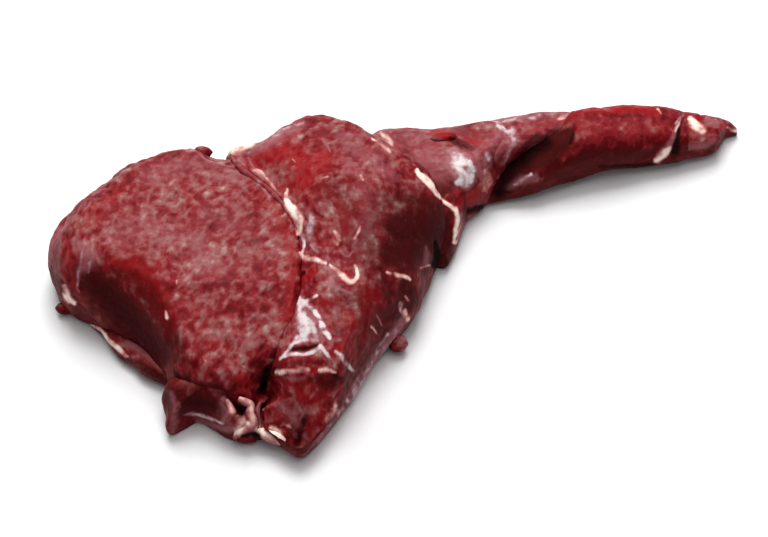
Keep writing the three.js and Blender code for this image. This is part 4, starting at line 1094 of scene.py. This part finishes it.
# %% From a surface to a dressed muscle
WAIST, TUCK = 13.0, 5.0  # height where a side stands out furthest, and how far its foot draws in
SEAM = np.array([[-80, 42], [-62, 26], [-47, 8], [-40, -18], [-42, -46], [-44, -74], [-52, -98]], float)
PIT, PIT_DEPTH = (-57, -92, 5), 18  # place, spread and depth of the dark gap beside the front end
ROUNDING = 4  # of an edge where two heights cross, in mm
LUMP, LUMP_DEPTH = 17, 1.3  # spacing and depth of the soft lumps, as in the solid
DIMPLE, DIMPLE_DEPTH = 9, 0.7  # spacing and depth of the dimples between them
FLAT_BELOW = 5  # the relief fades out below this height, so that the underside stays flat
GRAIN_WIDTH, GRAIN_LENGTH, BEAD = 2.2, 3.0, 4.2  # of the threads and beads that stand out, in mm
FILLS = {"deep": 0.5, "skin": 0.8, "pale": 0.6, "fat": 1.0}  # how far each ink fills up the grain
RISES = {"fat": 0.3, "skin": 0.1, "slit": -1.6}  # how far marks stand out or are sunk, in mm
WANDER, WANDER_SIZE = 25, 22  # the fibres turn by up to so many degrees over patches of this size
STEEP = (0.45, 0.1)  # painted shade starts on a side where its normal rises less than the first of these
SIDE_SHADE, FRONT_SHARE = 0.75, 0.4  # cover of painted shade on a side, and what is taken off it towards the viewer
THREAD_TONE, BEAD_TONE, TOP_LIGHT_TONE = 0.3, 0.25, 0.6  # how far these lighten the grain; the last is painted light on parts that face up


def near(x, y, line, spread):
    """1 on a line of plan points, easing to 0 on both sides of it."""
    least = np.full(len(x), np.inf)
    spots = np.column_stack([x, y])
    for a, b in zip(line[:-1], line[1:]):
        t = np.clip((spots - a) @ (b - a) / ((b - a) @ (b - a)), 0, 1)
        least = np.minimum(least, np.linalg.norm(spots - a - t[:, None] * (b - a), axis=1))
    return np.exp(-(least**2) / (2 * spread * spread))


def lower(a, b):
    """The lower of two heights, with a rounded edge where they cross."""
    return (a + b) / 2 - np.sqrt((a - b) ** 2 + ROUNDING**2) / 2


def fibres(points, normals, degrees):
    """Unit vectors along the fibres: the plan direction at this angle, laid into the surface."""
    turn = np.radians(degrees + WANDER * noise(points, WANDER_SIZE, 5.5))
    flat = np.column_stack([np.cos(turn), np.sin(turn), np.zeros(len(points))])
    flat -= normals * (flat * normals).sum(1, keepdims=True)
    return flat / np.maximum(np.linalg.norm(flat, axis=1, keepdims=True), 1e-9)


def muscle(name, surface, degrees, marks, membrane=0.0, grain_depth=0.35, shade=0.0):
    """Gives a surface its lumps, grain and strokes and makes it a piece that stands for the solid:
    points move along their normals by lumps, dimples, grain and marks. degrees is the fibres' plan
    angle, one number or one for each point; membrane lies over it all, and shade darkens it."""
    points, faces = surface
    normals = normals_of(points, faces)
    along = fibres(points, normals, degrees)
    grain = threads(points, along, GRAIN_WIDTH, GRAIN_LENGTH)
    beads = noise(points @ TILT, BEAD, 7.7)
    found = painted(points, normals, marks)
    # Steep sides get painted shade, a little less where they face the viewer.
    side = ease(*STEEP, normals[:, 2]) * (1 - ease(-0.2, 0.2, normals @ TOWARDS) * FRONT_SHARE)
    found["deep"] = np.maximum(found["deep"], SIDE_SHADE * side)
    found["pale"] = np.maximum(found["pale"], membrane * np.clip(1 + noise(points, 12, 6.1), 0, 1.4))
    open_grain = 1 - np.clip(sum(share * found[ink] for ink, share in FILLS.items()), 0, 0.85)
    relief = LUMP_DEPTH * noise(points, LUMP) + DIMPLE_DEPTH * noise(points, DIMPLE)
    relief += grain_depth * open_grain * (grain + beads)
    relief += sum(rise * found[ink] for ink, rise in RISES.items())
    points = points + normals * (relief * ease(0, FLAT_BELOW, points[:, 2]))[:, None]
    points[:, 2] = np.maximum(points[:, 2], 0)
    # Slits are sunk, and are also painted near black as shade.
    found["dark"] = np.maximum(found["dark"], found["slit"])
    kept = {ink: np.clip(found[ink], 0, 1) for ink in INKS}
    # The tone of the grain, lifted where the surface faces up: painted light from above.
    kept["grain"] = THREAD_TONE * grain + BEAD_TONE * beads - shade
    kept["grain"] += TOP_LIGHT_TONE * ease(0.3, 1.0, normals[:, 2])
    obj = piece(name, points, faces, FLESH, {"fibre": along, **kept})
    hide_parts("rump_steak")


print("the seam is", round(np.linalg.norm(np.diff(SEAM, axis=0), axis=1).sum()), "mm long")

# %% [markdown]
# The head is the big round muscle on the left. It could be a squashed ball, but its plan is uneven
# and its top nearly flat, so it is a pillow with an outline of its own. Its fibres turn from across
# to along as they come round its left end.

# %% Head
HEAD_OUTLINE = [
    (-90, 51, 12), (-103, 51, 14), (-115, 49, 15), (-127, 44, 16), (-137, 36, 17), (-150, 23, 20),
    (-160, 11, 24), (-167, -9, 21), (-164, -24, 22), (-157, -34, 24), (-147, -40, 25), (-137, -46, 25),
    (-126, -53, 24), (-116, -62, 23), (-106, -75, 21), (-99, -88, 17), (-88, -97, 13), (-74, -99, 11),
    (-61, -98, 9), (-49, -84, 8), (-39, -58, 8), (-36, -25, 8), (-43, 4, 7), (-56, 26, 7), (-73, 44, 7),
]


def head_top(x, y):
    """45 mm, with a low hump on the left, a slope down to the front, three hollows and the pit."""
    rise = 45 + 2 * bell(x, y, -128, 2, 26) - 0.3 * np.maximum(0, -45 - y) - 2 * bell(x, y, -78, -30, 24)
    return rise - 7 * bell(x, y, -85, 43, 6) - 4 * bell(x, y, -72, 40, 9) - PIT_DEPTH * bell(x, y, *PIT)


head_surface = pillow(HEAD_OUTLINE, (-84, -8), head_top, WAIST, TUCK, half=96, shoulder_rings=58)
head_fibres = 58 + 40 * ease(-85, -150, head_surface[0][:, 0])
muscle("head", head_surface, head_fibres, {**HEAD_MARKS, **SEAM_MARKS})

# %% [markdown]
# The middle muscle is the highest. Towards the camera its top breaks into a sloping face, which
# could be a cut through the mesh. Taking the lower of two heights, the top and the slope, gives the
# same break with a softly rounded edge. Its crown, where the lattice's lines meet, lies well forward,
# so that the cells of the long front stay small.

# %% Middle muscle, with its sloping front face
MIDDLE_OUTLINE = [
    (10, 50, 16), (-3, 58, 15), (-12, 63, 15), (-23, 68, 14), (-34, 70, 14), (-44, 69, 14), (-53, 62.5, 13),
    (-66, 51.5, 12), (-81, 50, 9), (-76, 34, 9), (-60, 16, 9), (-51, -3, 9), (-48, -18, 9), (-49, -46, 9),
    (-50, -74, 9), (-57, -97, 8), (-57, -109, 7), (-47, -118, 7), (-40, -122, 7), (-32.5, -115, 8),
    (-23, -101, 10), (-16, -88, 14), (-10, -76, 18), (-3, -63, 22), (6, -52, 26), (16, -37.5, 29),
    (21.5, -22.5, 30), (28, -3, 30), (33, 14, 27), (27, 34, 20),
]
FRONT_EDGE = -88  # where the top breaks into the front face


def middle_top(x, y):
    """The lower of the top, which falls to the front and the right and dips at the seam, and of the
    plane of the front face; then the pit is taken off."""
    top = 49 + 2 * bell(x, y, -22, 28, 26) - 0.12 * np.maximum(0, -y) - 0.25 * np.maximum(0, x)
    face = 37 + 1.15 * (y - FRONT_EDGE)
    sunk = 4 * near(x, y, SEAM, 6) + 5 * bell(x, y, -74, 48, 9)
    return lower(top - sunk, face) - PIT_DEPTH * bell(x, y, *PIT)


middle_surface = pillow(
    MIDDLE_OUTLINE, (-22, -14), middle_top, WAIST, TUCK, half=110, shoulder_rings=46, side_rings=8
)
middle_fibres = 95 - 55 * ease(10, 45, middle_surface[0][:, 1])
muscle("middle", middle_surface, middle_fibres, {**SEAM_MARKS, **MIDDLE_MARKS})

# %% [markdown]
# The neck joins the body to the tail. It is a low pillow rather than a strap, because it is nearly
# as broad as it is long. Membrane covers it, so its grain is shallow.

# %% Neck, where the tail leaves the body
NECK_OUTLINE = [
    (24, 76, 14), (6, 75, 12), (-16, 60, 12), (-5, 30, 10), (18, 24, 10), (38, 26, 12), (50, 36, 12),
    (60, 50, 12), (70, 70, 10), (60, 80.5, 12), (42, 78, 14),
]


def neck_top(x, y):
    """33 mm, falling a little to the right and faster to the front, with a hollow on the left."""
    return 33 + 0.05 * (30 - x) - 4 * bell(x, y, 14, 60, 8) - 0.35 * np.maximum(0, 42 - y)


neck_surface = pillow(NECK_OUTLINE, (30, 52), neck_top, 9, 4, half=75)
muscle("neck", neck_surface, 20, NECK_MARKS, membrane=0.4, grain_depth=0.2)

# %% [markdown]
# The tail is three long muscles one over the other: the cap, which ends halfway in a thin edge, the
# core that comes out from under it, and the pinched end. One lofted tail would have no such edge,
# so each is a strap of its own. The cap's undercut leaves a hollow over the core, which its strokes
# also paint dark as shade.

# %% Tail: the cap under its membrane, the bare core and the end
CAP = [
    (30, 56, 34, 30), (48, 61.5, 34, 30), (66, 70, 28, 31), (84, 76, 22, 30), (97, 81, 15, 27),
    (105, 84, 7, 20),
]
CORE = [
    (46, 44.5, 9, 8), (60, 51, 18, 14), (74, 57, 24, 20), (88, 65, 29, 26), (104, 73, 32, 30),
    (124, 78, 33, 27), (142, 81, 30, 24), (156, 83, 25, 20), (162, 83, 20, 16),
]
END = [
    (150, 83, 16, 14), (158, 83, 24, 19), (168, 84.5, 23, 18), (173, 87.5, 17, 17), (179, 91.5, 9, 13),
    (184, 92.5, 5, 9), (187, 93, 3, 4),
]
muscle("tail_cap", strap(CAP, 180, 220, undercut=9), 25, CAP_MARKS, membrane=0.45, grain_depth=0.2)
muscle("tail_core", strap(CORE, 200, 300), 70, CORE_MARKS, grain_depth=0.2, shade=0.45)
muscle("tail_end", strap(END, 150, 130), 30, END_MARKS, membrane=0.12, grain_depth=0.2)

# %% [markdown]
# Four small muscles finish the edges: the flap under the head, whose two ends and two hollows are
# sunk into its top, the lip along its foot, the roll on the left rim and the strip on the right.
# The outlines of the large muscles could bulge there instead, but then no crease would part them.

# %% Front flap, foot lip, rim roll and edge strip
FLAP_OUTLINE = [
    (-86, -72, 7), (-99.5, -79, 7), (-106, -88, 6), (-105, -97, 5), (-104, -106, 4), (-98, -103, 5),
    (-91, -99, 6), (-82, -104, 7), (-74, -109, 7), (-66, -110, 7), (-54, -106, 6), (-60, -84, 7),
]
LIP = [
    (-145, -36, 5, 4), (-135, -44, 10, 8), (-125.5, -55, 14, 9), (-118, -60, 14, 10), (-110, -67, 14, 10),
    (-103, -73, 10, 9), (-98, -76, 5, 6),
]
RIM_ROLL = [
    (-149, 20, 6, 22), (-156, 10, 12, 29), (-161, -4, 13, 31), (-160, -16, 12, 28), (-154, -27, 6, 17),
]
EDGE_STRIP = [(26, 44, 14, 26), (35, 33, 15, 26), (32.5, 20, 15, 22), (29.5, 9, 13, 17), (28, 0, 8, 12)]


def flap_top(x, y):
    """25 mm on a slope, with bells taken off for the lower ends and for the two hollows."""
    ends = 8 * bell(x, y, -105, -106, 8) + 9 * bell(x, y, -101, -79, 8) + 12 * bell(x, y, -55, -104, 6)
    hollows = 9 * bell(x, y, -69, -101, 4) + 14 * bell(x, y, -57, -91, 7)
    return 25 + 0.25 * (y + 95) - ends - hollows


flap_surface = pillow(FLAP_OUTLINE, (-83, -90), flap_top, 8, 3, half=45, shoulder_rings=16)
muscle("flap", flap_surface, 80, FLAP_MARKS)
muscle("foot_lip", strap(LIP, 80, 150), -40, LIP_MARKS, membrane=0.2, grain_depth=0.2)
muscle("rim_roll", strap(RIM_ROLL, 90, 110), 100, RIM_MARKS)
muscle("edge_strip", strap(EDGE_STRIP, 90, 120), 70, EDGE_MARKS, grain_depth=0.2, shade=0.5)

# %% [markdown]
# In the seam a web of membrane joins the two muscles. A crease alone would be a plain dark line, so
# a thin cord lies in it, half sunk, and takes the strokes of the seam like its neighbours.

# %% Web of the seam
SEAM_WEB = [
    (-77.5, 42.3, 38.6, 1.2), (-75.4, 37, 39.8, 1.9), (-71, 28, 43.1, 2.2), (-65.8, 23, 43.6, 2.1),
    (-59.6, 17, 43.7, 2.1), (-54, 10.2, 43.7, 2.1), (-50, 5, 43.5, 2.1), (-47.2, -0.6, 43.7, 2),
    (-44.6, -5, 42.8, 1.7), (-43, -10, 41.2, 1),
]
muscle("seam_web", cord(SEAM_WEB, 60, 260), 130, SEAM_MARKS, membrane=0.15, grain_depth=0.3)

# %% [markdown]
# Small nubs of flesh stick out where the knife left them, and strands of fat hang over the front.
# Both are cords in the same places as on the solid; as bumps on the large muscles they could not
# stand free. A nub is a short cord whose radius swells to its middle.

# %% Nubs and strands of fat
NUBS = {  # x, y, z, radius and reach to both sides
    "nub_1": (-92, 47, 36, 3.5, 4),  # at the back edge of the head
    "nub_2": (31, 61, 31, 3.5, 6),  # on the neck
    "nub_3": (6.5, -52.5, 5, 4.5, 4),  # at the foot of the middle muscle
    "nub_4": (-159, -29, 4, 3.5, 4),  # at the foot of the head
    "nub_5": (-66, -108, 4, 4, 5),  # in the gap at the front
}
NUB_MARKS = {"nub_2": NECK_MARKS, "nub_5": FRONT_MARKS}
SWELL = ((-1.3, 0.15), (-0.8, 0.8), (0, 1), (0.8, 0.8), (1.3, 0.15))  # shares of reach and of radius
STRANDS = {
    "strand_left": [
        (-75.3, -99.5, 21.5, 1), (-73.8, -101.5, 19.5, 1.6), (-72.4, -104.8, 18.2, 1.6),
        (-73.4, -107.6, 16, 1),
    ],
    "strand_right": [
        (-69, -99.5, 22, 1), (-66, -101, 21.5, 1.6), (-63, -101.8, 20, 1.6), (-63.8, -105, 18.5, 1.7),
        (-62.2, -108.3, 15.5, 2.3), (-64, -109.8, 12, 2.3), (-69, -110.6, 9.5, 2), (-72, -110.6, 4, 1.2),
    ],
    "strand_thin": [
        (-59, -97.5, 17, 1), (-60.3, -102, 16, 1.4), (-59.5, -106, 12.5, 1.4), (-60, -108.3, 9.5, 0.9),
    ],
    "fat_block": [
        (-61, -108.5, 8.5, 1.8), (-56, -110.3, 8.5, 3.3), (-51, -112.2, 7.5, 3.2),
        (-47.5, -113.5, 6.5, 1.6),
    ],
    "fat_bit": [(-58.5, -99, 12, 1), (-57, -99, 12, 2), (-55.5, -99, 12, 1)],
}

for name, (x, y, z, radius, reach) in NUBS.items():
    line = [(x + step * reach, y, z, radius * size) for step, size in SWELL]
    muscle(name, cord(line, 40, 50), 0, NUB_MARKS.get(name, {}), grain_depth=0.15)
for name, stations in STRANDS.items():
    muscle(name, cord(stations, 48, 110), 90, FRONT_MARKS, membrane=0.6, grain_depth=0.25)

# %% [markdown]
# Last come the floor and the light. The steak was lit softly from above and behind, so its tops are
# bright and its faces towards the camera are dark; its colours add painted light to that, lighter on
# tops and darker on steep sides. One lamp could do that, but its shadows would be hard. A large lamp
# behind and above, a weak one overhead and an even sky give the same softly.

# %% Floor, light and sky
FLOOR_REACH = 6.0  # metres to each side, so that no edge shows
FLOOR_DROP = 0.0003  # just below the underside, so that the two faces don't flicker

floor_mesh = bpy.data.meshes.new("floor")
signs = ((-1, -1), (1, -1), (1, 1), (-1, 1))
floor_corners = [(FLOOR_REACH * a, FLOOR_REACH * b, -FLOOR_DROP) for a, b in signs]
floor_mesh.from_pydata(floor_corners, [], [(0, 1, 2, 3)])
floor = bpy.data.objects.new("floor", floor_mesh)
bpy.context.collection.objects.link(floor)
floor_material, _, floor_shader = new_material("floor")
floor_shader.inputs["Base Color"].default_value = srgb(250, 250, 251)
floor_shader.inputs["Roughness"].default_value = 0.9
floor_shader.inputs["Specular IOR Level"].default_value = 0.1
floor_mesh.materials.append(floor_material)


def lamp(name, place, size, watts):
    """A square area light that looks at the middle of the steak."""
    data = bpy.data.lights.new(name, "AREA")
    data.shape, data.size, data.energy = "SQUARE", size, watts
    light = bpy.data.objects.new(name, data)
    light.location = place
    light.rotation_euler = (Vector((0, 0, 0.02)) - Vector(place)).to_track_quat("-Z", "Y").to_euler()
    bpy.context.collection.objects.link(light)


lamp("key", (-0.15, 1.25, 2.0), size=1.6, watts=58)
lamp("top", (0.1, 0.1, 2.2), size=1.8, watts=14)
world = bpy.data.worlds.new("sky")
world.use_nodes = True
world.node_tree.nodes["Background"].inputs["Color"].default_value = (1.0, 1.0, 1.0, 1.0)
world.node_tree.nodes["Background"].inputs["Strength"].default_value = 0.25
bpy.context.scene.world = world
bpy.context.scene.view_settings.view_transform = "Standard"
